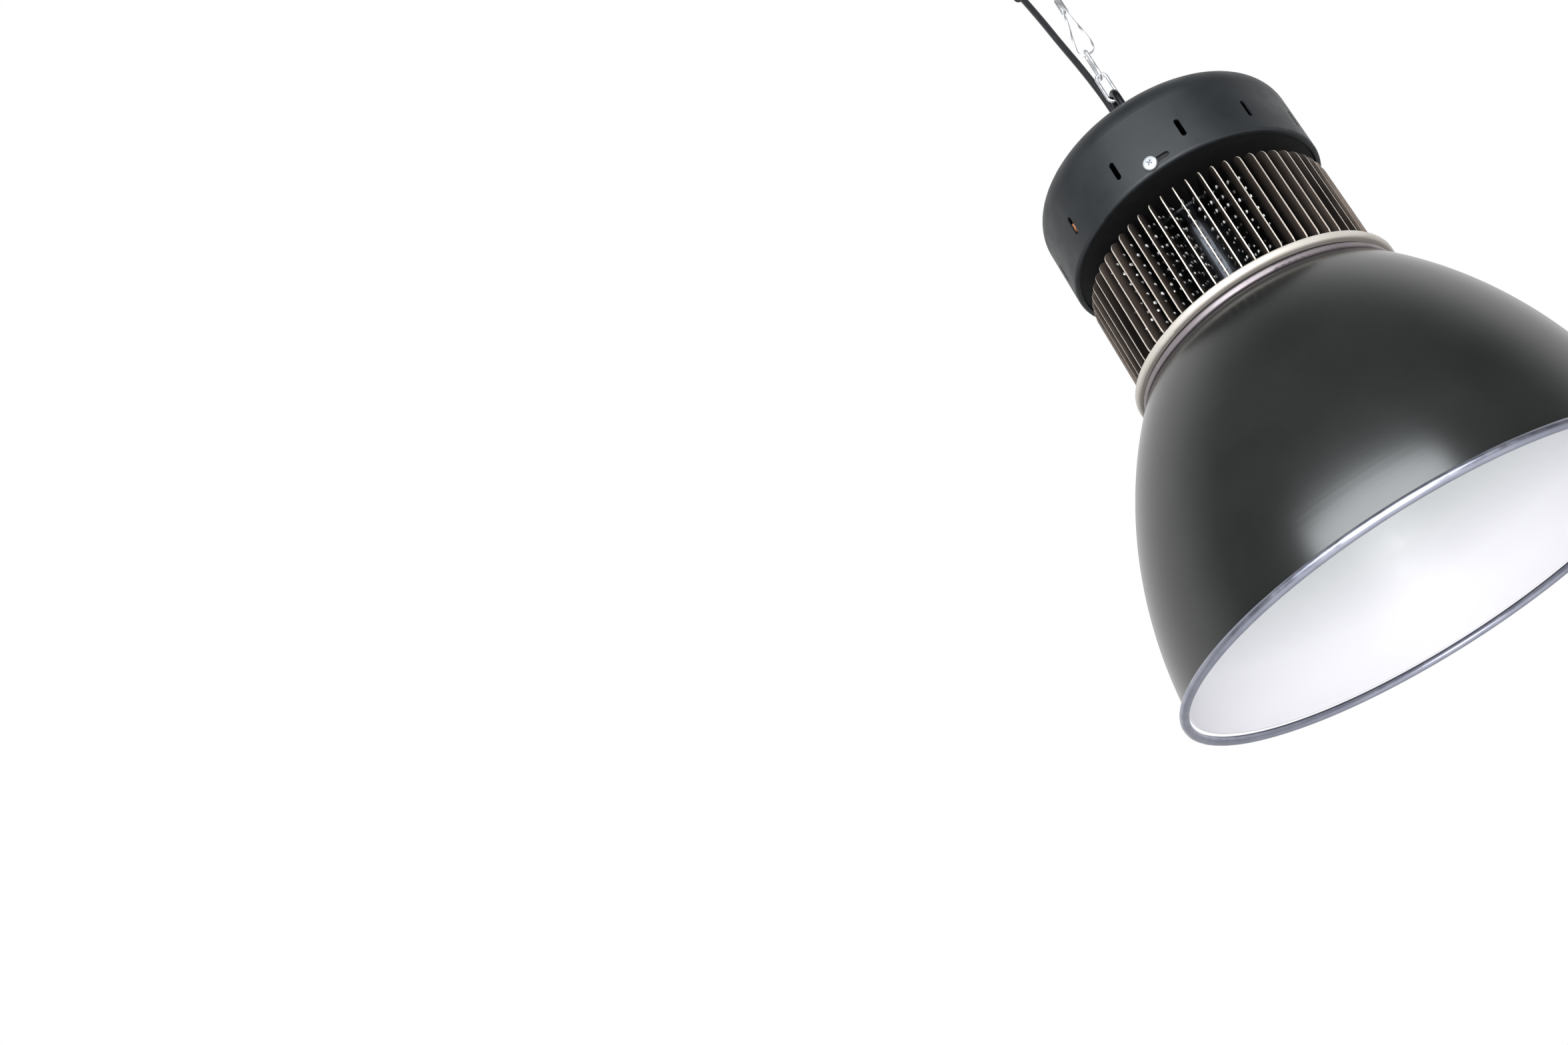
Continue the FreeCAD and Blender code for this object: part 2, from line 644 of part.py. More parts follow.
FLANGE = "housing_radius - housing_wall - skirt_gap"
plate = turned("driver_plate", [
    ("middle_hole_radius", "0"),
    (FLANGE + " - plate_round", "0"),
    (FLANGE, "plate_round"),
    (FLANGE, "plate_flange"),
    (FLANGE + " - plate_thickness", "plate_flange"),
    (FLANGE + " - plate_thickness", "plate_round"),
    (FLANGE + " - plate_round", "plate_thickness"),
    ("middle_hole_radius", "plate_thickness"),
], {1: ("plate_round", 1), 5: ("plate_round - plate_thickness", -1)}, level="plate_low")
hole = drill(plate, "post_hole", "post_circle", "0", "post_spigot + seat_gap")
polar(plate, hole, "post_holes", "post_count")
hole = drill(plate, "flange_hole", "0", "screw_height - plate_rise", "screw_radius + seat_gap",
             role="YZ_Plane", turn="screw_angle")
polar(plate, hole, "flange_holes", "screw_count")
for side in ("", "-"):
    drill(plate, "ear_hole" + ("_left" if side else "_right"), side + "(driver_length + driver_foot) / 2",
          "-driver_offset", "small_screw_radius + seat_gap")
keep(plate, "driver_plate")

driver = newBody("led_driver")
earSketch = newSketch(driver, "ear_section", "XY_Plane")
rectangle(earSketch, "driver_length / 2 + driver_foot", "-driver_offset - driver_width / 4",
          "-driver_offset + driver_width / 4")
padded(driver, earSketch, "ears", "driver_foot_thickness")
for side in ("", "-"):
    drill(driver, "driver_hole" + ("_left" if side else "_right"), side + "(driver_length + driver_foot) / 2",
          "-driver_offset", "small_screw_radius + seat_gap")
canSketch = newSketch(driver, "can_section", "XY_Plane")
rectangle(canSketch, "driver_length / 2", "-driver_offset - driver_width / 2",
          "-driver_offset + driver_width / 2")
can = padded(driver, canSketch, "can", "driver_height")
doc.recompute()
uprights = []
for i, edge in enumerate(can.Shape.Edges, start=1):
    if len(edge.Vertexes) != 2:
        continue
    foot, tip = [v.Point for v in edge.Vertexes]
    upright = (foot - tip).cross(FreeCAD.Vector(0, 0, 1)).Length < 1e-6
    corner = abs(abs(foot.x) - size("driver_length") / 2) < 1e-6
    if upright and corner and edge.Length > size("driver_height") / 2:
        uprights.append("Edge%d" % i)
rounds = driver.newObject("PartDesign::Fillet", "can_rounds")
rounds.Base = (can, uprights)
rounds.setExpression("Radius", bound("driver_round"))
driver.Tip = rounds
raiseTo(driver, "plate_top")
keep(driver, "led_driver")
earTop = size("plate_top + driver_foot_thickness")
earReach = size("(driver_length + driver_foot) / 2")
keep(screws("driver_screws", [
    FreeCAD.Placement(FreeCAD.Vector(across, -size("driver_offset"), earTop), FreeCAD.Rotation())
    for across in (-earReach, earReach)
], size("small_head_radius"), size("small_head_height"), size("small_screw_radius"),
    size("driver_foot_thickness + plate_thickness")), "driver_screws")

block = doc.addObject("Part::Box", "terminal_block")
block.setExpression("Length", bound("block_length"))
block.setExpression("Width", bound("block_width"))
block.setExpression("Height", bound("block_height"))
block.setExpression(".Placement.Base.x", bound("-block_length / 2"))
block.setExpression(".Placement.Base.y", bound("gland_offset - block_width / 2"))
raiseTo(block, "plate_top")
keep(block, "terminal_block")

# Cable gland, mains cable and its connector ---------------------------------------------------------------

GLAND_BORE = "cable_radius + cable_gap"
glandHex = hexNut("gland_hex", "gland_flats", "gland_hex_height", GLAND_BORE, "crown", "gland_offset")
glandThread = turned("gland_thread", [
    (GLAND_BORE, "-gland_reach"),
    ("gland_thread_radius", "-gland_reach"),
    ("gland_thread_radius", "gland_hex_height * 2"),
    (GLAND_BORE, "gland_hex_height * 2"),
], level="crown")
glandThread.setExpression(".Placement.Base.y", bound("gland_offset"))
gland = doc.addObject("Part::Fuse", "cable_gland")
gland.Base = glandHex
gland.Tool = glandThread
keep(gland, "cable_gland")
cap = turned("gland_cap", [
    ("gland_thread_radius + seat_gap", "0"),
    ("gland_cap_radius", "0"),
    ("gland_cap_radius", "gland_cap_height - cap_dome_height"),
    ("gland_cap_radius - cap_dome_width", "gland_cap_height"),
    (GLAND_BORE, "gland_cap_height"),
    (GLAND_BORE, "gland_hex_height + seat_gap"),
    ("gland_thread_radius + seat_gap", "gland_hex_height + seat_gap"),
], {2: ("cap_dome_round", 1)}, level="crown + gland_hex_height")
cap.setExpression(".Placement.Base.y", bound("gland_offset"))
keep(cap, "gland_cap")
keep(hexNut("gland_lock_nut", "gland_flats + 2", "gland_nut_height", "gland_thread_radius + seat_gap",
            "crown - housing_wall - gland_nut_height", "gland_offset"), "gland_lock_nut")

# from the terminal block up through the gland to the connector, above the crown and behind the axis
blockTop = size("plate_top + block_height - crown")
CABLE_ROUTE = [
    (0.0, 0.0, blockTop),
    (0.0, 0.0, 38.0),
    (1.3, -0.9, 88.0),
    (-0.6, 2.6, 133.0),
    (-3.6, 9.6, 178.0),
    (-4.8, 18.4, 221.0),
    (-7.2, 26.5, 259.0),
]
cableFoot = FreeCAD.Vector(0, size("gland_offset"), size("crown"))
cableRoute = [FreeCAD.Vector(*p) + cableFoot for p in CABLE_ROUTE]
keep(cord("mains_cable", cableRoute, size("cable_radius")), "mains_cable")

lastRun = (cableRoute[-1] - cableRoute[-2]).normalize()
alongRun = FreeCAD.Rotation(FreeCAD.Vector(0, 0, 1), lastRun)
connectorNut = turned("connector_nut", [
    (GLAND_BORE, "0"),
    ("connector_radius - strain_nut_inset - strain_nut_cone", "0"),
    ("connector_radius - strain_nut_inset", "strain_nut_cone"),
    ("connector_radius - strain_nut_inset", "strain_nut_length"),
    (GLAND_BORE, "strain_nut_length"),
])
connectorNut.Placement = FreeCAD.Placement(
    cableRoute[-1] - lastRun * size("connector_seat + strain_nut_length"), alongRun)
keep(connectorNut, "connector_nut")
connector = turned("cable_connector", [
    (GLAND_BORE, "0"),
    ("connector_radius", "0"),
    ("connector_radius", "connector_length - connector_edge"),
    ("connector_radius - connector_edge", "connector_length"),
    ("0", "connector_length"),
    ("0", "connector_seat"),
    (GLAND_BORE, "connector_seat"),
])
connector.Placement = FreeCAD.Placement(cableRoute[-1] - lastRun * size("connector_seat"), alongRun)
keep(connector, "cable_connector")
pins = []
for k in range(int(size("contact_count"))):
    turn = FreeCAD.Rotation(FreeCAD.Vector(0, 0, 1), 360 * k / size("contact_count"))
    spot = turn.multVec(FreeCAD.Vector(size("connector_radius / 2"), 0, size("connector_length")))
    pins.append(Part.makeCylinder(size("contact_radius"), size("contact_length"), spot))
contacts = doc.addObject("Part::Feature", "connector_contacts")
contacts.Shape = Part.Compound(pins)
contacts.Placement = connector.Placement
keep(contacts, "connector_contacts")

# Heat sink ------------------------------------------------------------------------------------------------

post = turned("spacer_post", [
    ("0", "-cover_thickness"),
    ("post_spigot", "-cover_thickness"),
    ("post_spigot", "0"),
    ("post_radius", "0"),
    ("post_radius", "post_height"),
    ("post_spigot", "post_height"),
    ("post_spigot", "post_height + plate_thickness"),
    ("0", "post_height + plate_thickness"),
])
doc.recompute()
posts = doc.addObject("Part::Feature", "spacer_posts")
copies = []
for place in around(size("post_count"), size("post_circle"), size("cover_top")):
    copy = post.Shape.copy()
    copy.Placement = place
    copies.append(copy)
posts.Shape = Part.Compound(copies)
keep(posts, "spacer_posts")

cover = turned("fin_cover", [
    ("middle_hole_radius", "0"),
    ("cover_radius", "0"),
    ("cover_radius", "cover_thickness"),
    ("middle_hole_radius", "cover_thickness"),
], level="fins_top")
hole = drill(cover, "cover_hole", "post_circle", "0", "post_spigot + seat_gap")
polar(cover, hole, "cover_holes", "post_count")
keep(cover, "fin_cover")

fins = turned("heat_sink_fins", [
    ("hub_radius - hub_wall", "0"),
    ("hub_radius", "0"),
    ("hub_radius", "fin_height"),
    ("hub_radius - hub_wall", "fin_height"),
], level="fins_low")
finSketch = newSketch(fins, "fin_section")
outline(finSketch, [
    ("hub_radius - hub_wall / 2", "0"),
    ("fin_radius - fin_round", "0"),
    ("fin_radius", "fin_round"),
    ("fin_radius", "fin_height - fin_round"),
    ("fin_radius - fin_round", "fin_height"),
    ("hub_radius - hub_wall / 2", "fin_height"),
], {1: ("fin_round", 1), 3: ("fin_round", 1)})
fin = padded(fins, finSketch, "fin", "fin_thickness", middle=True)
polar(fins, fin, "fins", "fin_count")
fins.setExpression(".Placement.Rotation.Angle", bound("fin_angle"))
keep(fins, "heat_sink_fins")

CORE = "hub_radius - hub_wall - core_gap"
base = turned("heat_sink_base", [
    ("0", "0"),
    ("base_radius - base_round", "0"),
    ("base_radius", "base_round"),
    ("base_radius", "base_thickness - base_round"),
    ("base_radius - base_round", "base_thickness"),
    (CORE, "base_thickness"),
    (CORE, "base_thickness + core_height"),
    ("0", "base_thickness + core_height"),
], {1: ("base_round", 1), 3: ("base_round", 1)}, level="base_low")
for side in ("", "-"):
    drill(base, "lead_bore" + ("_left" if side else "_right"), side + "lead_offset", "0",
          "lead_radius + seat_gap")
hole = drill(base, "clamp_hole", "collar_screw_circle", "0", "small_screw_radius + seat_gap",
             "small_screw_bite + hole_reserve")
polar(base, hole, "clamp_holes", "collar_screw_count")
for side in ("", "-"):
    drill(base, "holder_tap" + ("_front" if side else "_back"), "0",
          side + "(holder_radius - holder_screw_inset)", "small_screw_radius + seat_gap",
          "small_screw_bite + hole_reserve")
keep(base, "heat_sink_base")

# Reflector and its clamping -------------------------------------------------------------------------------

gasket = turned("base_gasket", [
    ("mouth_radius", "0"),
    ("gasket_radius", "0"),
    ("gasket_radius", "gasket_thickness"),
    ("mouth_radius", "gasket_thickness"),
], level="gasket_low")
hole = drill(gasket, "gasket_hole", "collar_screw_circle", "0", "small_screw_radius + seat_gap")
polar(gasket, hole, "gasket_holes", "collar_screw_count")
keep(gasket, "base_gasket")

collar = turned("reflector_collar", [
    ("mouth_radius", "0"),
    ("collar_radius - collar_round", "0"),
    ("collar_radius", "collar_round"),
    ("collar_radius", "collar_thickness - collar_round"),
    ("collar_radius - collar_round", "collar_thickness"),
    ("mouth_radius", "collar_thickness"),
], {1: ("collar_round", 1), 3: ("collar_round", 1)}, level="collar_low")
hole = drill(collar, "collar_hole", "collar_screw_circle", "0", "small_screw_radius + seat_gap")
polar(collar, hole, "collar_holes", "collar_screw_count")
keep(collar, "reflector_collar")

# the dome's side is one arc about (domeAcross, -dome_centre_drop); its shoulder is a smaller arc that runs
# on from it to the flat top
FOOT_UP = "bead_radius * 2"
FOOT_OUT = "rim_radius - bead_inset"
domeAcross = "(%s - sqrt(dome_arc ^ 2 - (%s + dome_centre_drop) ^ 2))" % (FOOT_OUT, FOOT_UP)
shoulderRise = "((dome_height - dome_round + dome_centre_drop) / (dome_arc - dome_round))"
shoulderAcross = "sqrt(1 - %s ^ 2)" % shoulderRise
shoulderMiddle = "%s + (dome_arc - dome_round) * %s" % (domeAcross, shoulderAcross)
INNER_FOOT = "%s + sqrt((dome_arc - dome_wall) ^ 2 - (%s + dome_centre_drop) ^ 2)" % (domeAcross, FOOT_UP)
reflector = turned("reflector", [
    ("mouth_radius", "dome_height - dome_wall"),
    (shoulderMiddle, "dome_height - dome_wall"),
    ("%s + (dome_arc - dome_wall) * %s" % (domeAcross, shoulderAcross),
     "(dome_arc - dome_wall) * %s - dome_centre_drop" % shoulderRise),
    (INNER_FOOT, FOOT_UP),
    ("rim_radius - bead_radius * 2 + bead_bite", "bead_radius - dome_wall / 2"),
    ("rim_radius - bead_radius * 2 + bead_bite", "bead_radius + dome_wall / 2"),
    (FOOT_OUT, FOOT_UP),
    ("%s + dome_arc * %s" % (domeAcross, shoulderAcross),
     "dome_arc * %s - dome_centre_drop" % shoulderRise),
    (shoulderMiddle, "dome_height"),
    ("mouth_radius", "dome_height"),
], {
    1: ("dome_round - dome_wall", -1),
    2: ("dome_arc - dome_wall", -1),
    6: ("dome_arc", 1),
    7: ("dome_round", 1),
}, level="rim_low")
hole = drill(reflector, "reflector_hole", "collar_screw_circle", "0", "small_screw_radius + seat_gap")
polar(reflector, hole, "reflector_holes", "collar_screw_count")
keep(reflector, "reflector")

# the bead round the reflector's edge, a ring of round section that the sheet's edge meets on a flat
BEAD_MIDDLE = "rim_radius - bead_radius"
BEAD_FLAT = "rim_radius - bead_radius * 2 + bead_bite"
beadHalf = "sqrt(bead_radius ^ 2 - (bead_radius - bead_bite) ^ 2)"
keep(turned("rim_bead", [
    (BEAD_FLAT, "bead_radius - " + beadHalf),
    (BEAD_MIDDLE, "0"),
    ("rim_radius", "bead_radius"),
    (BEAD_MIDDLE, "bead_radius * 2"),
    (BEAD_FLAT, "bead_radius + " + beadHalf),
], {
    0: ("bead_radius", 1),
    1: ("bead_radius", 1),
    2: ("bead_radius", 1),
    3: ("bead_radius", 1),
}, level="rim_low"), "rim_bead")

RING_BORE = "mouth_radius - seat_gap - glass_ring_wall"
RING_TOP = "base_low - glass_ring_low - seat_gap"
glassRing = turned("glass_ring", [
    (RING_BORE + " - glass_ring_wall", "0"),
    ("glass_ring_flange", "0"),
    ("glass_ring_flange", "glass_ring_sheet"),
    ("mouth_radius - seat_gap", "glass_ring_sheet"),
    ("mouth_radius - seat_gap", RING_TOP),
    (RING_BORE, RING_TOP),
    (RING_BORE, "glass_ring_sheet"),
    (RING_BORE + " - glass_ring_wall", "glass_ring_sheet"),
], level="glass_ring_low")
hole = drill(glassRing, "ring_hole", "collar_screw_circle", "0", "small_screw_radius + seat_gap")
polar(glassRing, hole, "ring_holes", "collar_screw_count")
keep(glassRing, "glass_ring")
glass = doc.addObject("Part::Cylinder", "cover_glass")
glass.setExpression("Radius", bound(RING_BORE + " - seat_gap"))
glass.setExpression("Height", bound("glass_thickness"))
raiseTo(glass, "glass_ring_low + glass_ring_sheet")
keep(glass, "cover_glass")
keep(screws("reflector_screws",
            around(size("collar_screw_count"), size("collar_screw_circle"), size("glass_ring_low"), 0, True),
            size("small_head_radius"), size("small_head_height"), size("small_screw_radius"),
            size("base_low - glass_ring_low + small_screw_bite")), "reflector_screws")

# LED, its holder and its leads ----------------------------------------------------------------------------

pad = doc.addObject("Part::Box", "thermal_pad")
for edge in ("Length", "Width"):
    pad.setExpression(edge, bound("led_half * 2"))
pad.setExpression("Height", bound("pad_thickness"))
for axis in "xy":
    pad.setExpression(".Placement.Base." + axis, bound("-led_half"))
raiseTo(pad, "base_low - pad_thickness")
keep(pad, "thermal_pad")

led = newBody("led_board")
boardSketch = newSketch(led, "board_section", "XY_Plane")
rectangle(boardSketch, "led_half", "-led_half", "led_half")
padded(led, boardSketch, "board", "led_thickness")
emitterSketch = newSketch(led, "emitter_section")
outline(emitterSketch, [
    ("0", "-emitter_height"),
    ("emitter_radius", "-emitter_height"),
    ("emitter_radius", "led_thickness / 2"),
    ("0", "led_thickness / 2"),
])
led.Tip = revolve(led, emitterSketch, "emitter")
raiseTo(led, "base_low - pad_thickness - led_thickness")
keep(led, "led_board")

holder = turned("led_holder", [
    ("holder_opening", "0"),
    ("holder_radius", "0"),
    ("holder_radius", "holder_height"),
    ("holder_opening", "holder_height"),
], level="base_low - holder_height")
pocketSketch = newSketch(holder, "seat_sketch", "XY_Plane", lift="holder_height")
rectangle(pocketSketch, "led_half + seat_gap", "-led_half - seat_gap", "led_half + seat_gap")
seat = holder.newObject("PartDesign::Pocket", "seat")
seat.Profile = pocketSketch
seat.setExpression("Length", bound("pad_thickness + led_thickness + seat_gap"))
holder.Tip = seat
for side in ("", "-"):
    drill(holder, "holder_hole" + ("_front" if side else "_back"), "0",
          side + "(holder_radius - holder_screw_inset)", "small_screw_radius + seat_gap")
keep(holder, "led_holder")
keep(screws("holder_screws",
            around(2, size("holder_radius - holder_screw_inset"), size("base_low - holder_height"), 90, True),
            size("small_head_radius"), size("small_head_height"), size("small_screw_radius"),
            size("holder_height + small_screw_bite")), "holder_screws")

leads = []
for side in (-1, 1):
    foot = FreeCAD.Vector(side * size("lead_offset"), 0, size("base_low"))
    leads.append(Part.makeCylinder(size("lead_radius"), size("plate_top - base_low"), foot))
leadFeature = doc.addObject("Part::Feature", "led_leads")
leadFeature.Shape = Part.Compound(leads)
keep(leadFeature, "led_leads")

# Checks and export ----------------------------------------------------------------------------------------

doc.recompute()
for obj in doc.Objects:
    if "Invalid" in obj.State or "Error" in obj.State:
        raise RuntimeError("%s didn't recompute: %s" % (obj.Name, obj.State))
for obj in parts:
    if obj.Shape.isNull() or not obj.Shape.isValid() or not obj.Shape.Solids:
        raise RuntimeError("%s has no sound shape" % obj.Label)
os.makedirs("parts", exist_ok=True)
for obj in parts:
    obj.Shape.exportStep(os.path.join("parts", obj.Label + ".step"))
print("%d sub-parts written" % len(parts))
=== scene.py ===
import json
import math
import random

import bpy
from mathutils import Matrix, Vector


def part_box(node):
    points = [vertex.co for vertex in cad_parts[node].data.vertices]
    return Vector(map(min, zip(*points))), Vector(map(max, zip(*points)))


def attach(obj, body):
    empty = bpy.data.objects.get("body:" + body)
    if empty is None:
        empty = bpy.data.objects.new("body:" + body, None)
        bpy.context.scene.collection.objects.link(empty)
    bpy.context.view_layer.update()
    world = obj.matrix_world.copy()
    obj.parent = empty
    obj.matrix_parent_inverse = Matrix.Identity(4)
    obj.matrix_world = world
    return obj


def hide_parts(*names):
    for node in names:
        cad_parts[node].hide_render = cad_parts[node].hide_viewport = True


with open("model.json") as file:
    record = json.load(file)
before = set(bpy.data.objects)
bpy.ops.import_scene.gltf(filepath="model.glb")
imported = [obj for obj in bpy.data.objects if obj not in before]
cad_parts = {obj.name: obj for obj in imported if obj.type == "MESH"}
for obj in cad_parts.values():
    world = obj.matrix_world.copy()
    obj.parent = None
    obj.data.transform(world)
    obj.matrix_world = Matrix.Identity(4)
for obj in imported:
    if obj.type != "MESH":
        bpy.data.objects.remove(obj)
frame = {"nodes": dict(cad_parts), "record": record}
nodes = frame["nodes"]
scene = bpy.context.scene
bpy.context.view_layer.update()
bpy.ops.object.select_all(action="DESELECT")


# Camera, below the light and looking up into its reflector
camera = {
    "place": (-0.30058, -1.12178, -1.04624),
    "turn": (112.24043, 29.09043, 1.86931),   # degrees
    "lens": 38.15,
    "sensor": 36.0,
    "shift": (-0.28656, 0.02806),
}
bpy.ops.object.camera_add(location=camera["place"],
                          rotation=[math.radians(angle) for angle in camera["turn"]])
scene.camera = bpy.context.object
scene.camera.data.lens = camera["lens"]
scene.camera.data.sensor_width = camera["sensor"]
scene.camera.data.shift_x, scene.camera.data.shift_y = camera["shift"]
print("camera in place")


# Selecting a piece, and going in and out of edit mode
def activate(piece):
    bpy.ops.object.select_all(action="DESELECT")
    piece.select_set(True)
    bpy.context.view_layer.objects.active = piece


def startEdit():
    bpy.ops.object.mode_set(mode="EDIT")
    bpy.ops.mesh.select_all(action="DESELECT")


def endEdit():
    bpy.ops.object.mode_set(mode="OBJECT")


# Cords
def routeCurve(name, points, radius):
    curve = bpy.data.curves.new(name, "CURVE")
    curve.dimensions = "3D"
    spline = curve.splines.new("NURBS")
    spline.points.add(len(points) - 1)
    for control, place in zip(spline.points, points):
        control.co = (*place, 1.0)
    spline.order_u = 3
    spline.use_endpoint_u = True
    spline.resolution_u = 16
    curve.bevel_depth = radius
    curve.bevel_resolution = 5
    curve.use_fill_caps = True
    guide = bpy.data.objects.new(name, curve)
    scene.collection.objects.link(guide)
    return guide


def lineOf(route):
    # the points of the route's own spline
    guide = routeCurve("routeGuide", route, 0.0)
    line = bpy.data.meshes.new_from_object(guide)
    bpy.data.objects.remove(guide)
    return [vertex.co.copy() for vertex in line.vertices]


def evenSteps(line, step):
    # points an even step apart along the line
    spaced, travelled = [line[0]], 0.0
    for before, after in zip(line, line[1:]):
        reach = (after - before).length
        while travelled + reach >= step:
            before = before.lerp(after, (step - travelled) / reach)
            spaced.append(before)
            reach, travelled = (after - before).length, 0.0
        travelled += reach
    return spaced + [line[-1]]


def meshOf(name, guide):
    # the guide curve's surface as a mesh of its own, smooth but for its ends
    piece = bpy.data.objects.new(name, bpy.data.meshes.new_from_object(guide))
    bpy.data.objects.remove(guide)
    scene.collection.objects.link(piece)
    activate(piece)
    startEdit()
    bpy.ops.mesh.select_all(action="SELECT")
    bpy.ops.mesh.remove_doubles(threshold=0.0000005)      # joins the end caps
    endEdit()
    bpy.ops.object.shade_smooth_by_angle(angle=math.radians(50))
    return piece


mainsCable = {
    "route": [
        (0, 0.030, -0.36175), (0, 0.030, -0.27635), (0.0013, 0.0291, -0.22635),
        (-0.0006, 0.0326, -0.18135), (-0.0036, 0.0396, -0.13635), (-0.0048, 0.0484, -0.09335),
        (-0.0072, 0.0565, -0.05535),
    ],
    "radius": 0.003,
    "length": 0.309,
}
cableLine = lineOf(mainsCable["route"])
cable = meshOf("mainsCable", routeCurve("cableGuide", mainsCable["route"], mainsCable["radius"]))
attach(cable, "light")
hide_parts("mains_cable")

wireRope = {
    "route": [
        (0, 0, -0.017), (0, 0, -0.0408), (0.0034, 0, -0.1238), (0.0034, 0, -0.1458),
        (-0.0039, 0, -0.1758), (-0.0062, 0, -0.1908), (0.0086, 0, -0.1908), (0.0103, 0, -0.1768),
        (0.0055, 0, -0.1458), (0.0055, 0, -0.1288),
    ],
    "radius": 0.001,
    "length": 0.246,
    "strands": 6,          # round a seventh in the middle
    "lay": 0.0095,         # one turn of a strand
    "stepsEachTurn": 10,
}


def layStrands(name, rope, line):
    spaced = evenSteps(line, rope["lay"] / rope["stepsEachTurn"])
    thin = rope["radius"] / 3
    side = Vector((0, 1, 0))       # the rope hangs in one upright plane
    strands = bpy.data.curves.new(name, "CURVE")
    strands.dimensions = "3D"
    for number in range(rope["strands"] + 1):
        out = 0 if number == rope["strands"] else 2 * thin
        spline = strands.splines.new("POLY")
        spline.points.add(len(spaced) - 1)
        for index, middle in enumerate(spaced):
            ahead = spaced[min(index + 1, len(spaced) - 1)] - spaced[max(index - 1, 0)]
            across = ahead.normalized().cross(side)
            angle = math.tau * (index / rope["stepsEachTurn"] + number / rope["strands"])
            place = middle + (side * math.cos(angle) + across * math.sin(angle)) * out
            spline.points[index].co = (*place, 1.0)
    strands.bevel_depth = thin
    strands.bevel_resolution = 1
    strands.use_fill_caps = True
    guide = bpy.data.objects.new(name + "Guide", strands)
    scene.collection.objects.link(guide)
    return meshOf(name, guide)


ropeLine = lineOf(wireRope["route"])
rope = layStrands("wireRope", wireRope, ropeLine)
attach(rope, "suspension")
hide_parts("suspension_wire")
print("cords laid")


# Materials: each is a Principled shader with its own patterns on Object coordinates
def shaderOf(finish):
    return finish.node_tree.nodes["Principled BSDF"]


def newFinish(name, colour, roughness, metallic=0.0, **sockets):
    finish = bpy.data.materials.new(name)
    finish.use_nodes = True
    finish.diffuse_color = (*colour, 1)
    inputs = shaderOf(finish).inputs
    inputs["Base Color"].default_value = (*colour, 1)
    inputs["Roughness"].default_value = roughness
    inputs["Metallic"].default_value = metallic
    for socket, value in sockets.items():
        inputs[socket.replace("_", " ")].default_value = value
    return finish


def dimSpecular(finish, level):
    shaderOf(finish).inputs["Specular IOR Level"].default_value = level


def addNode(finish, kind, links=None, **values):
    # links joins this node's inputs, by name or number, to other nodes' outputs
    node = finish.node_tree.nodes.new(kind)
    for key, value in values.items():
        if key in node.inputs:
            node.inputs[key].default_value = value
        else:
            setattr(node, key, value)
    for key, source in (links or {}).items():
        finish.node_tree.links.new(source, node.inputs[key])
    return node


def addMath(finish, operation, *sources):
    links = dict(enumerate(sources))
    return addNode(finish, "ShaderNodeMath", links, operation=operation).outputs[0]


def objectPlace(finish):
    return addNode(finish, "ShaderNodeTexCoord").outputs["Object"]


def join(finish, socket, source):
    finish.node_tree.links.new(source, shaderOf(finish).inputs[socket])


def speckle(finish, scale, detail=2.0, stretch=None):
    place = objectPlace(finish)
    if stretch:
        place = addNode(finish, "ShaderNodeMapping", {"Vector": place}, Scale=stretch).outputs[0]
    noise = addNode(finish, "ShaderNodeTexNoise", {"Vector": place}, Scale=scale, Detail=detail)
    return noise.outputs["Fac"]


def spread(finish, source, low, high, fromLow=0.3, fromHigh=0.7):
    node = addNode(finish, "ShaderNodeMapRange", {"Value": source})
    limits = {"From Min": fromLow, "From Max": fromHigh, "To Min": low, "To Max": high}
    for key, value in limits.items():
        node.inputs[key].default_value = value
    return node.outputs["Result"]


def tint(finish, source, first, second, low=0.3, high=0.7):
    ramp = addNode(finish, "ShaderNodeValToRGB", {"Fac": source})
    for stop, place, colour in zip(ramp.color_ramp.elements, (low, high), (first, second)):
        stop.position = place
        stop.color = (*colour, 1)
    return ramp.outputs["Color"]


def relief(finish, source, strength, distance):
    bump = addNode(finish, "ShaderNodeBump", {"Height": source}, Strength=strength, Distance=distance)
    join(finish, "Normal", bump.outputs["Normal"])


def radiusOf(finish):
    # distance from the light's axis, and the height
    split = addNode(finish, "ShaderNodeSeparateXYZ", {"Vector": objectPlace(finish)}).outputs
    squares = [addMath(finish, "MULTIPLY", split[axis], split[axis]) for axis in "XY"]
    return addMath(finish, "SQRT", addMath(finish, "ADD", *squares)), split["Z"]


def turnedLines(finish, scale, strength, distance):
    # faint rings left by the spinning lathe, read along radius less height
    reach = addMath(finish, "SUBTRACT", *radiusOf(finish))
    rings = addNode(finish, "ShaderNodeTexNoise", {"W": reach},
                    noise_dimensions="1D", Scale=scale, Detail=3.0)
    relief(finish, rings.outputs["Fac"], strength, distance)


def paintGrain(finish, roughness, grain, strength):
    rough = spread(finish, speckle(finish, 60.0, 4.0), roughness - 0.05, roughness + 0.07)
    join(finish, "Roughness", rough)
    relief(finish, speckle(finish, grain, 1.0), strength, 0.0004)


def powderCoat(name, dark, light, roughness, grain=1500.0, strength=0.12):
    finish = newFinish(name, dark, roughness)
    join(finish, "Base Color", tint(finish, speckle(finish, 22.0), dark, light))
    paintGrain(finish, roughness, grain, strength)
    return finish


def metal(name, colour, roughness, dull=None, scale=90.0, strength=0.05, stretch=None):
    finish = newFinish(name, colour, roughness, 1.0)
    dull = dull or [c * 0.82 for c in colour]
    rough = speckle(finish, scale, 5.0, stretch)
    join(finish, "Base Color", tint(finish, speckle(finish, scale * 0.6, 3.0), colour, dull))
    join(finish, "Roughness", spread(finish, rough, roughness * 0.75, roughness * 1.35))
    relief(finish, speckle(finish, scale * 6, 2.0, stretch), strength, 0.0002)
    return finish


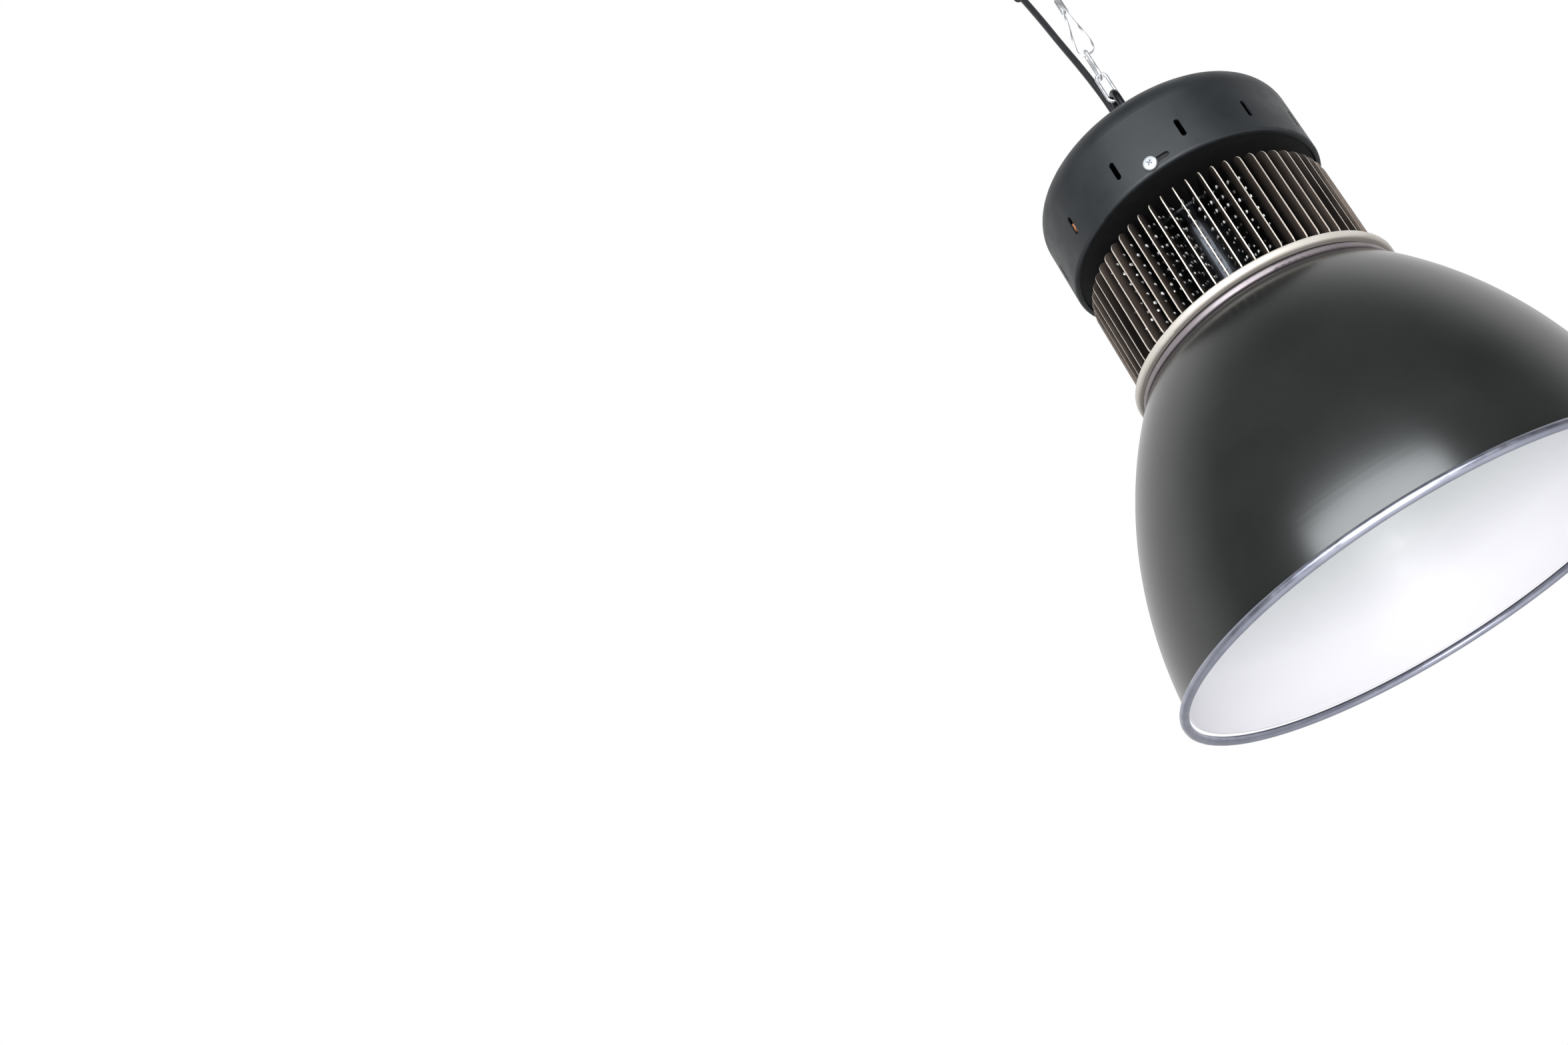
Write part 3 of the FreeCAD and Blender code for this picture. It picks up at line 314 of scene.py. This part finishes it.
def satinSheet(name, first, second, roughness, metallic):
    # anodised sheet: part metal, with fine lines turned round the light's axis
    finish = newFinish(name, first, roughness, metallic)
    rough = speckle(finish, 120.0, 4.0)
    join(finish, "Base Color", tint(finish, speckle(finish, 30.0, 4.0), first, second))
    join(finish, "Roughness", spread(finish, rough, roughness - 0.06, roughness + 0.08))
    turnedLines(finish, 1400.0, 0.06, 0.0003)
    return finish


def plastic(name, colour, roughness, strength=0.08):
    finish = newFinish(name, colour, roughness)
    lighter = [min(1.0, c * 1.15 + 0.002) for c in colour]
    rough = speckle(finish, 200.0, 3.0)
    join(finish, "Base Color", tint(finish, speckle(finish, 70.0), colour, lighter))
    join(finish, "Roughness", spread(finish, rough, roughness - 0.05, roughness + 0.08))
    relief(finish, speckle(finish, 2600.0, 1.0), strength, 0.0002)
    return finish


finishes = {
    "black_powder_coat": powderCoat("blackPowderCoat", (0.009, 0.0105, 0.012),
                                    (0.015, 0.017, 0.019), 0.45),
    "black_anodised": metal("blackAnodised", (0.035, 0.031, 0.029), 0.45, (0.055, 0.048, 0.043)),
    "champagne_anodised": satinSheet("champagneAnodised", (0.56, 0.52, 0.47),
                                     (0.50, 0.46, 0.41), 0.42, 0.35),
    "rose_anodised": satinSheet("roseAnodised", (0.27, 0.235, 0.245), (0.21, 0.18, 0.19), 0.42, 0.6),
    "spun_aluminium": metal("spunAluminium", (0.38, 0.39, 0.46), 0.34, (0.30, 0.31, 0.38)),
    "white_paint": powderCoat("whitePaint", (0.86, 0.86, 0.87), (0.90, 0.90, 0.90), 0.38, 1800.0, 0.05),
    "bright_steel": metal("brightSteel", (0.40, 0.41, 0.42), 0.44, (0.34, 0.35, 0.37)),
    "zinc_steel": metal("zincSteel", (0.86, 0.86, 0.87), 0.34, (0.74, 0.75, 0.78)),
    "black_steel": metal("blackSteel", (0.045, 0.045, 0.050), 0.36),
    "nickel_plate": metal("nickelPlate", (0.74, 0.71, 0.66), 0.24),
    "bare_aluminium": metal("bareAluminium", (0.80, 0.80, 0.79), 0.36),
    "driver_can": metal("driverCan", (0.72, 0.73, 0.74), 0.42, stretch=(1.0, 12.0, 12.0)),
    "black_plastic": plastic("blackPlastic", (0.014, 0.014, 0.015), 0.42, 0.04),
    "white_plastic": plastic("whitePlastic", (0.82, 0.82, 0.80), 0.36),
    "cable_sheath": plastic("cableSheath", (0.010, 0.010, 0.012), 0.42, 0.03),
    "contact_brass": metal("contactBrass", (0.83, 0.62, 0.27), 0.28),
    "gasket_rubber": plastic("gasketRubber", (0.010, 0.010, 0.010), 0.72, 0.2),
    "led_phosphor": plastic("ledPhosphor", (0.93, 0.72, 0.16), 0.48, 0.05),
    "clear_glass": newFinish("clearGlass", (0.97, 0.99, 0.98), 0.03, Transmission_Weight=1.0, IOR=1.5),
}
relief(finishes["clear_glass"], speckle(finishes["clear_glass"], 40.0, 1.0), 0.02, 0.0002)
dimSpecular(finishes["black_powder_coat"], 0.38)
hubGrey = metal("hubGrey", (0.24, 0.25, 0.28), 0.42)
bareEdge = satinSheet("bareEdge", (0.70, 0.65, 0.58), (0.58, 0.53, 0.47), 0.40, 0.5)

# the reflector's inside: white paint under painted shading, cooler at the rim, and dimmer and a little
# greener deep inside as painted shade
insideWhite = newFinish("insideWhite", (0.84, 0.86, 0.84), 0.36)
# painted shade mask: 1 deep in the bowl, 0 near the rim
depth = spread(insideWhite, radiusOf(insideWhite)[1], 1.0, 0.0, -0.680, -0.570)
join(insideWhite, "Base Color",
     tint(insideWhite, depth, (0.47, 0.515, 0.485), (0.88, 0.865, 0.905), 0.0, 1.0))
paintGrain(insideWhite, 0.36, 1800.0, 0.05)

# the reflector's outside: glossy black lacquer over turning lines
spunBlack = newFinish("spunBlack", (0.009, 0.010, 0.010), 0.26)
join(spunBlack, "Base Color",
     tint(spunBlack, speckle(spunBlack, 14.0, 4.0), (0.008, 0.0085, 0.008), (0.013, 0.0135, 0.013)))
join(spunBlack, "Roughness", spread(spunBlack, radiusOf(spunBlack)[0], 0.15, 0.235, 0.10, 0.15))
turnedLines(spunBlack, 260.0, 0.03, 0.0005)

# the fins' faces: black deep in the gaps, with a painted bronze sheen, a painted reflection, near the
# edges
finFace = newFinish("finFace", (0.016, 0.0145, 0.014), 0.30, 0.8)
paintedBronzeSheen = tint(finFace, speckle(finFace, 34.0, 3.0, (1.0, 1.0, 0.12)),
              (0.030, 0.025, 0.022), (0.27, 0.21, 0.175))
sheenMask = spread(finFace, radiusOf(finFace)[0], 0.0, 1.0, 0.095, 0.104)
paintedSheenStrip = addNode(finFace, "ShaderNodeMix", {0: sheenMask, 7: paintedBronzeSheen}, data_type="RGBA")
paintedSheenStrip.inputs[6].default_value = (0.014, 0.013, 0.013, 1)
join(finFace, "Base Color", paintedSheenStrip.outputs[2])
join(finFace, "Roughness", spread(finFace, speckle(finFace, 60.0, 3.0), 0.26, 0.36))

# pressed spots on the fins, their light colour a painted highlight: each spot a painted glint of its
# own brightness
paintedSpotGlint = newFinish("paintedSpotGlint", (0.90, 0.88, 0.86), 0.32, 0.5)
join(paintedSpotGlint, "Base Color", tint(paintedSpotGlint, speckle(paintedSpotGlint, 170.0, 1.0),
                                   (0.07, 0.06, 0.055), (0.97, 0.95, 0.93), 0.40, 0.56))

# the plate that closes the drum, painted darker than its own black coat as painted shade behind the
# slots
slotShadeBlack = plastic("slotShadeBlack", (0.007, 0.007, 0.007), 0.6)
dimSpecular(slotShadeBlack, 0.25)
orangeLacquer = plastic("orangeLacquer", (0.52, 0.22, 0.10), 0.4)
print("finishes mixed")


for subpart in frame["record"]["subparts"]:
    materials = nodes[subpart["node"]].data.materials
    materials.clear()
    materials.append(finishes[subpart["material_slot"]])
# the driver plate takes the painted-shade black instead of its own coat
nodes["driver_plate"].data.materials[0] = slotShadeBlack
cable.data.materials.append(finishes["cable_sheath"])
rope.data.materials.append(finishes["zinc_steel"])
print("CAD nodes dressed")


# Modelling helpers
near = 0.0001        # two places closer than this count as one


def clearPicks(kind):
    endEdit()
    startEdit()
    bpy.ops.mesh.select_mode(type=kind)
    endEdit()


def pickFaces(piece, wanted):
    # picks the faces for which wanted(centre, normal) holds, and stays in edit mode
    clearPicks("FACE")
    for face in piece.data.polygons:
        face.select = bool(wanted(face.center, face.normal))
    bpy.ops.object.mode_set(mode="EDIT")


def pickEdges(piece, wanted):
    # picks the edges for which wanted(one end, other end) holds, and stays in edit mode
    clearPicks("EDGE")
    points = piece.data.vertices
    for edge in piece.data.edges:
        edge.select = bool(wanted(*(points[index].co for index in edge.vertices)))
    bpy.ops.object.mode_set(mode="EDIT")


def paintFaces(piece, finish, wanted):
    piece.data.materials.append(finish)
    number = len(piece.data.materials) - 1
    for face in piece.data.polygons:
        if wanted(face.center, face.normal):
            face.material_index = number


def settle(piece, angle=35.0):
    # puts the place into the mesh, and smooths all but the sharp edges
    activate(piece)
    bpy.ops.object.transform_apply(location=True, rotation=True, scale=True)
    bpy.ops.object.shade_smooth_by_angle(angle=math.radians(angle))


def faceOut():
    bpy.ops.mesh.select_all(action="SELECT")
    bpy.ops.mesh.normals_make_consistent(inside=False)
    endEdit()


def rotatePicked(angle):
    # about the light's axis; the operator turns the other way round, hence the minus
    bpy.ops.transform.rotate(value=-math.radians(angle), orient_axis="Z", center_override=(0, 0, 0))


def repeatRound(count, firstAngle):
    # turns the mesh to its first angle and repeats it about the light's axis
    bpy.ops.mesh.select_all(action="SELECT")
    rotatePicked(firstAngle)
    bpy.ops.mesh.spin(steps=count - 1, dupli=True, angle=math.tau * (count - 1) / count,
                      center=(0, 0, 0), axis=(0, 0, 1))
    faceOut()


def turn(name, outline, segments):
    # a closed outline of (radius, height) points, extruded ring by ring about the light's axis
    bpy.ops.object.select_all(action="DESELECT")
    radius, height = outline[0]
    bpy.ops.mesh.primitive_circle_add(vertices=segments, radius=radius, location=(0, 0, height))
    piece = bpy.context.object
    piece.name = name
    bpy.ops.object.transform_apply(location=True)
    bpy.ops.object.mode_set(mode="EDIT")
    bpy.ops.mesh.select_mode(type="VERT")
    bpy.ops.mesh.select_all(action="SELECT")
    for nextRadius, nextHeight in outline[1:] + outline[:1]:
        step = (0, 0, nextHeight - height)
        bpy.ops.mesh.extrude_region_move(TRANSFORM_OT_translate={"value": step})
        grow = nextRadius / radius
        bpy.ops.transform.resize(value=(grow, grow, 1), center_override=(0, 0, nextHeight))
        radius, height = nextRadius, nextHeight
    bpy.ops.mesh.select_all(action="SELECT")
    bpy.ops.mesh.remove_doubles(threshold=0.000002)      # closes the last ring on the first
    faceOut()
    return piece


def arc(across, height, radius, first, last, steps):
    # points of an arc in the outline's plane, angles in degrees
    angles = [math.radians(first + (last - first) * step / steps) for step in range(steps + 1)]
    return [(across + radius * math.cos(a), height + radius * math.sin(a)) for a in angles]


# Reflector: a spun dome, black outside and white inside
reflector = {
    "rim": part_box("rim_bead")[0].z,
    "height": 0.2295,
    "wall": 0.0015,
    "mouth": 0.058,            # radius of the hole in its flat top
    "band": 0.012,             # a ring of faces round that hole
    "footRadius": 0.197,
    "footHeight": 0.007,
    "arcRadius": 0.357,        # of the side
    "arcDrop": 0.0035,         # its middle below the rim
    "shoulderRadius": 0.008,
    "shoulderSteps": 6,
    "steps": 36,
    "segments": 160,
}


def domeOutline(dome):
    rim, drop, wall = dome["rim"], dome["arcDrop"], dome["wall"]
    big, small = dome["arcRadius"], dome["shoulderRadius"]
    lift = dome["footHeight"] + drop
    across = dome["footRadius"] - math.sqrt(big ** 2 - lift ** 2)
    low = math.degrees(math.asin(lift / big))
    high = math.degrees(math.asin((dome["height"] - small + drop) / (big - small)))
    shoulder = (across + (big - small) * math.cos(math.radians(high)), rim + dome["height"] - small)
    outside = (arc(across, rim - drop, big, low, high, dome["steps"])
               + arc(*shoulder, small, high, 90, dome["shoulderSteps"])[1:])
    inside = (arc(*shoulder, small - wall, 90, high, dome["shoulderSteps"])
              + arc(across, rim - drop, big - wall, high, low, dome["steps"])[1:])
    top, mouth, band = rim + dome["height"], dome["mouth"], dome["band"]
    flat = [(mouth + band, top), (mouth, top), (mouth, top - wall), (mouth + band, top - wall)]
    return outside + flat + inside


def onInside(centre, normal):
    out = Vector((centre.x, centre.y, 0)).normalized()
    return normal.dot(out) < -0.02 or normal.z < -0.9


dome = turn("spunReflector", domeOutline(reflector), reflector["segments"])
dome.data.materials.append(spunBlack)
paintFaces(dome, insideWhite, onInside)
settle(dome, 40)
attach(dome, "light")
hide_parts("reflector")

# Rolled bead: the sheet curls outward round the rim and its edge tucks in under the dome
bead = {
    "radius": 0.0035,
    "across": 0.2015,
    "wall": 0.0009,
    "first": 128.0,            # degrees
    "last": -205.0,
    "steps": 26,
}
beadHeight = reflector["rim"] + bead["radius"]
outerRoll = arc(bead["across"], beadHeight, bead["radius"],
                bead["first"], bead["last"], bead["steps"])
innerRoll = arc(bead["across"], beadHeight, bead["radius"] - bead["wall"],
                bead["last"], bead["first"], bead["steps"])
rimRoll = turn("rimBead", outerRoll + innerRoll, reflector["segments"])
rimRoll.data.materials.append(finishes["spun_aluminium"])
settle(rimRoll, 40)
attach(rimRoll, "light")
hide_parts("rim_bead")
print("reflector spun")

# Cooling fins round their hub
fins = {
    "count": 60,
    "hub": 0.042,
    "hubWall": 0.004,
    "sunk": 0.002,             # how deep a fin's root sits in the hub
    "radius": 0.1062,
    "thickness": 0.0014,
    "corner": 0.009,
    "cornerSteps": 7,
    "edge": 0.0003,
    "bareFrom": 0.08,          # edges past this radius are worn bare
    "firstAngle": 3.0,
}
finLow, finHigh = (corner.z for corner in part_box("heat_sink_fins"))
finRoot, finTip = fins["hub"] - fins["sunk"], fins["radius"]
bpy.ops.object.select_all(action="DESELECT")
bpy.ops.mesh.primitive_cube_add(
    size=1, location=((finRoot + finTip) / 2, 0, (finLow + finHigh) / 2),
    scale=(finTip - finRoot, fins["thickness"], finHigh - finLow))
coolingFins = bpy.context.object
coolingFins.name = "coolingFins"
bpy.ops.object.transform_apply(location=True, scale=True)


def isLevel(a, b):
    return abs(a.z - b.z) < 0.001


def isOuterCorner(a, b):
    return min(a.x, b.x) > finTip - near and isLevel(a, b)


def isFinEdge(a, b):
    alongFace = min(a.x, b.x) > fins["hub"] and abs(a.y - b.y) < near
    return alongFace and (max(a.x, b.x) > finTip - near - fins["corner"] or isLevel(a, b))


pickEdges(coolingFins, isOuterCorner)
bpy.ops.mesh.bevel(offset=fins["corner"], segments=fins["cornerSteps"])
pickEdges(coolingFins, isFinEdge)
bpy.ops.mesh.bevel(offset=fins["edge"], segments=1)
endEdit()
coolingFins.data.materials.append(finFace)
paintFaces(coolingFins, bareEdge,
           lambda centre, normal: abs(normal.y) < 0.5 and centre.x > fins["bareFrom"])

# small spots pressed out of both faces, in staggered columns
spot = {
    "columns": ((0.0760, 1), (0.0865, 1), (0.0965, 1), (0.0800, -1), (0.0900, -1)),
    "rows": 9,
    "firstRow": 0.006,
    "pitch": 0.0092,
    "half": (0.0018, 0.0010, 0.0016),
    "sizes": (0.7, 1.2),
    "lean": 35.0,              # degrees, give or take the tumble
    "tumble": 50,
    "stray": 0.0014,
}
chance = random.Random(11)
startEdit()
for column, (across, side) in enumerate(spot["columns"]):
    for row in range(spot["rows"]):
        level = (finLow + spot["firstRow"] + (row + 0.5 * (column % 2)) * spot["pitch"]
                 + chance.uniform(-1, 1) * spot["stray"])
        reach = across + chance.uniform(-1, 1) * spot["stray"]
        size = chance.uniform(*spot["sizes"])
        lean = spot["lean"] + chance.uniform(-spot["tumble"], spot["tumble"])
        bpy.ops.mesh.primitive_ico_sphere_add(
            subdivisions=1, radius=1, location=(reach, side * fins["thickness"] / 2, level),
            rotation=(0, math.radians(lean), 0), scale=[half * size for half in spot["half"]])
endEdit()
proud = fins["thickness"] / 2 + 0.00002
# the spots' faces take the painted glint colour
paintFaces(coolingFins, paintedSpotGlint, lambda centre, normal: abs(centre.y) > proud)
startEdit()
repeatRound(fins["count"], fins["firstAngle"])

hubInside = fins["hub"] - fins["hubWall"]
finHub = turn("finHub", [(fins["hub"], finLow), (fins["hub"], finHigh),
                         (hubInside, finHigh), (hubInside, finLow)], 72)
finHub.data.materials.append(hubGrey)
settle(finHub)
activate(coolingFins)
finHub.select_set(True)
bpy.ops.object.join()
settle(coolingFins, 25)
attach(coolingFins, "light")
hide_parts("heat_sink_fins")
print("fins set round the hub")


# Housing screws: pan heads with a cross recess
housingScrew = {
    "count": 3,
    "firstAngle": -107.0,
    "seat": 0.1104,            # drum's outside
    "head": 0.0061,
    "headHeight": 0.0026,
    "headRound": 0.0016,
    "shank": 0.002,
    "shankLength": 0.007,
    "recess": (0.0046, 0.0009, 0.0011),   # across, wide, deep
}
screwLow, screwHigh = (corner.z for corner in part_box("housing_screws"))
crownLevel = housingScrew["seat"] + housingScrew["headHeight"]
bpy.ops.object.select_all(action="DESELECT")
bpy.ops.mesh.primitive_cylinder_add(
    vertices=40, radius=housingScrew["head"], depth=housingScrew["headHeight"],
    location=(housingScrew["seat"] + housingScrew["headHeight"] / 2, 0, 0),
    rotation=(0, math.radians(90), 0))
head = bpy.context.object
head.name = "housingScrews"
bpy.ops.object.transform_apply(location=True, rotation=True)
pickEdges(head, lambda a, b: min(a.x, b.x) > crownLevel - near)
bpy.ops.mesh.bevel(offset=housingScrew["headRound"], segments=6)
pickFaces(head, lambda centre, normal: normal.x < -0.99)
bpy.ops.mesh.inset(thickness=housingScrew["head"] - housingScrew["shank"])
shankStep = (-housingScrew["shankLength"], 0, 0)
bpy.ops.mesh.extrude_region_move(TRANSFORM_OT_translate={"value": shankStep})
endEdit()
across, wide, deep = housingScrew["recess"]
for barAngle in (45, 135):
    bpy.ops.object.select_all(action="DESELECT")
    bpy.ops.mesh.primitive_cube_add(size=1, location=(crownLevel, 0, 0),
                                    scale=(2 * deep, across, wide),
                                    rotation=(math.radians(barAngle), 0, 0))
    cutter = bpy.context.object
    activate(head)
    cut = head.modifiers.new("recess", "BOOLEAN")
    cut.operation = "DIFFERENCE"
    cut.object = cutter
    bpy.ops.object.modifier_apply(modifier=cut.name)
    bpy.data.objects.remove(cutter)
startEdit()
bpy.ops.mesh.select_all(action="SELECT")
bpy.ops.transform.translate(value=(0, 0, (screwLow + screwHigh) / 2))
repeatRound(housingScrew["count"], housingScrew["firstAngle"])
head.data.materials.append(finishes["bright_steel"])
settle(head, 30)
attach(head, "light")
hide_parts("housing_screws")

# Tapered boot where the mains cable leaves its gland
boot = {
    "offset": 0.030,
    "foot": 0.0066,
    "tip": 0.0040,
    "bore": 0.0034,
    "height": 0.030,
    "sunk": 0.0002,            # into the gland's cap
    "ribs": 6,
    "ribShape": ((0, 0), (0.62, 0), (0.72, 1), (0.9, 1)),   # share of a rib, in its groove or not
    "groove": 0.0007,
}
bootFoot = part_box("gland_cap")[1].z - boot["sunk"]
bootTop = bootFoot + boot["height"]
bootOutline = []
for rib in range(boot["ribs"]):
    for part, inGroove in boot["ribShape"]:
        share = (rib + part) / boot["ribs"]
        full = boot["foot"] + (boot["tip"] - boot["foot"]) * share
        bootOutline.append((full - inGroove * boot["groove"] * (1 - 0.5 * share),
                            bootFoot + boot["height"] * share))
bootOutline += [(boot["bore"] + 0.0002, bootTop), (boot["bore"], bootTop - 0.0004),
                (boot["bore"], bootFoot)]
cableBoot = turn("cableBoot", bootOutline, 40)
startEdit()
bpy.ops.mesh.select_all(action="SELECT")
bpy.ops.transform.translate(value=(0, boot["offset"], 0))
endEdit()
cableBoot.data.materials.append(finishes["black_plastic"])
settle(cableBoot, 40)
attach(cableBoot, "light")

# Orange surge disc behind one vent slot, on two legs that stand on the driver plate
disc = {
    "angle": -153.3,
    "across": 0.1050,
    "radius": 0.0036,
    "thick": 0.0032,
    "edge": 0.0011,
    "plate": 0.002,            # the driver plate's thickness
    "rise": 0.0192,
    "leg": 0.0004,
    "legLength": 0.0172,
    "legOffset": 0.0018,
}
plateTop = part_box("driver_plate")[0].z + disc["plate"]
bpy.ops.object.select_all(action="DESELECT")
bpy.ops.mesh.primitive_cylinder_add(
    vertices=32, radius=disc["radius"], depth=disc["thick"],
    location=(disc["across"], 0, plateTop + disc["rise"]), rotation=(0, math.radians(90), 0))
surgeDisc = bpy.context.object
surgeDisc.name = "surgeDisc"
bpy.ops.object.transform_apply(location=True, rotation=True)
pickEdges(surgeDisc, lambda a, b: abs(a.x - b.x) < near)
bpy.ops.mesh.bevel(offset=disc["edge"], segments=4)
for side in (-1, 1):
    bpy.ops.mesh.primitive_cylinder_add(
        vertices=8, radius=disc["leg"], depth=disc["legLength"],
        location=(disc["across"], side * disc["legOffset"], plateTop + disc["legLength"] / 2))
bpy.ops.mesh.select_all(action="SELECT")
rotatePicked(disc["angle"])
endEdit()
surgeDisc.data.materials.append(orangeLacquer)
settle(surgeDisc, 40)
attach(surgeDisc, "light")
print("small pieces made")


# Floor and soft light
floor = {"height": -1.95, "half": 14.0}
bpy.ops.object.select_all(action="DESELECT")
bpy.ops.mesh.primitive_plane_add(size=2 * floor["half"], location=(0, 0, floor["height"]))
ground = bpy.context.object
ground.name = "studioFloor"
ground.data.materials.append(newFinish("paleFloor", (0.86, 0.86, 0.86), 0.8))

# a white wall behind the light, and a dimmer room before it
room = {
    "turn": 5,                 # degrees; the wall reaches a little further round on the right
    "dimUpTo": -0.12,
    "whiteFrom": 0.30,
    "dim": (0.17, 0.17, 0.175),
    "white": (1.0, 1.0, 1.0),
}
world = bpy.data.worlds.new("softRoom")
world.use_nodes = True
sky = world.node_tree.nodes
direction = sky.new("ShaderNodeTexCoord")
turned = sky.new("ShaderNodeMapping")
turned.inputs["Rotation"].default_value = (0, 0, math.radians(room["turn"]))
split = sky.new("ShaderNodeSeparateXYZ")
shift = sky.new("ShaderNodeMapRange")
shift.inputs["From Min"].default_value = room["dimUpTo"]
shift.inputs["From Max"].default_value = room["whiteFrom"]
backdrop = sky.new("ShaderNodeValToRGB")
backdrop.color_ramp.elements[0].color = (*room["dim"], 1)
backdrop.color_ramp.elements[1].color = (*room["white"], 1)
for source, target in (
        (direction.outputs["Generated"], turned.inputs["Vector"]),
        (turned.outputs["Vector"], split.inputs["Vector"]),
        (split.outputs["Y"], shift.inputs["Value"]),
        (shift.outputs["Result"], backdrop.inputs["Fac"]),
        (backdrop.outputs["Color"], sky["Background"].inputs["Color"])):
    world.node_tree.links.new(source, target)
sky["Background"].inputs["Strength"].default_value = 1.0
scene.world = world
scene.view_settings.view_transform = "Standard"

lights = {
    "rimSoftbox": {"place": (-0.58, -2.32, 0.10), "size": (2.8, 0.9), "power": 104,
                   "tint": (0.92, 0.97, 1.0)},
    "bowlLight": {"place": (-0.30, -1.50, -1.15), "size": (0.6, 0.6), "power": 16.5,
                  "tint": (1.0, 0.98, 1.0)},
}
lightsAim = Vector((0, 0, -0.62))
for name, light in lights.items():
    bpy.ops.object.light_add(type="AREA", location=light["place"])
    lamp = bpy.context.object
    lamp.name = name
    lamp.data.shape = "RECTANGLE"
    lamp.data.size, lamp.data.size_y = light["size"]
    lamp.data.energy = light["power"]
    lamp.data.color = light["tint"]
    lamp.rotation_euler = (lightsAim - Vector(light["place"])).to_track_quat("-Z", "Y").to_euler()
print("floor and lights set")
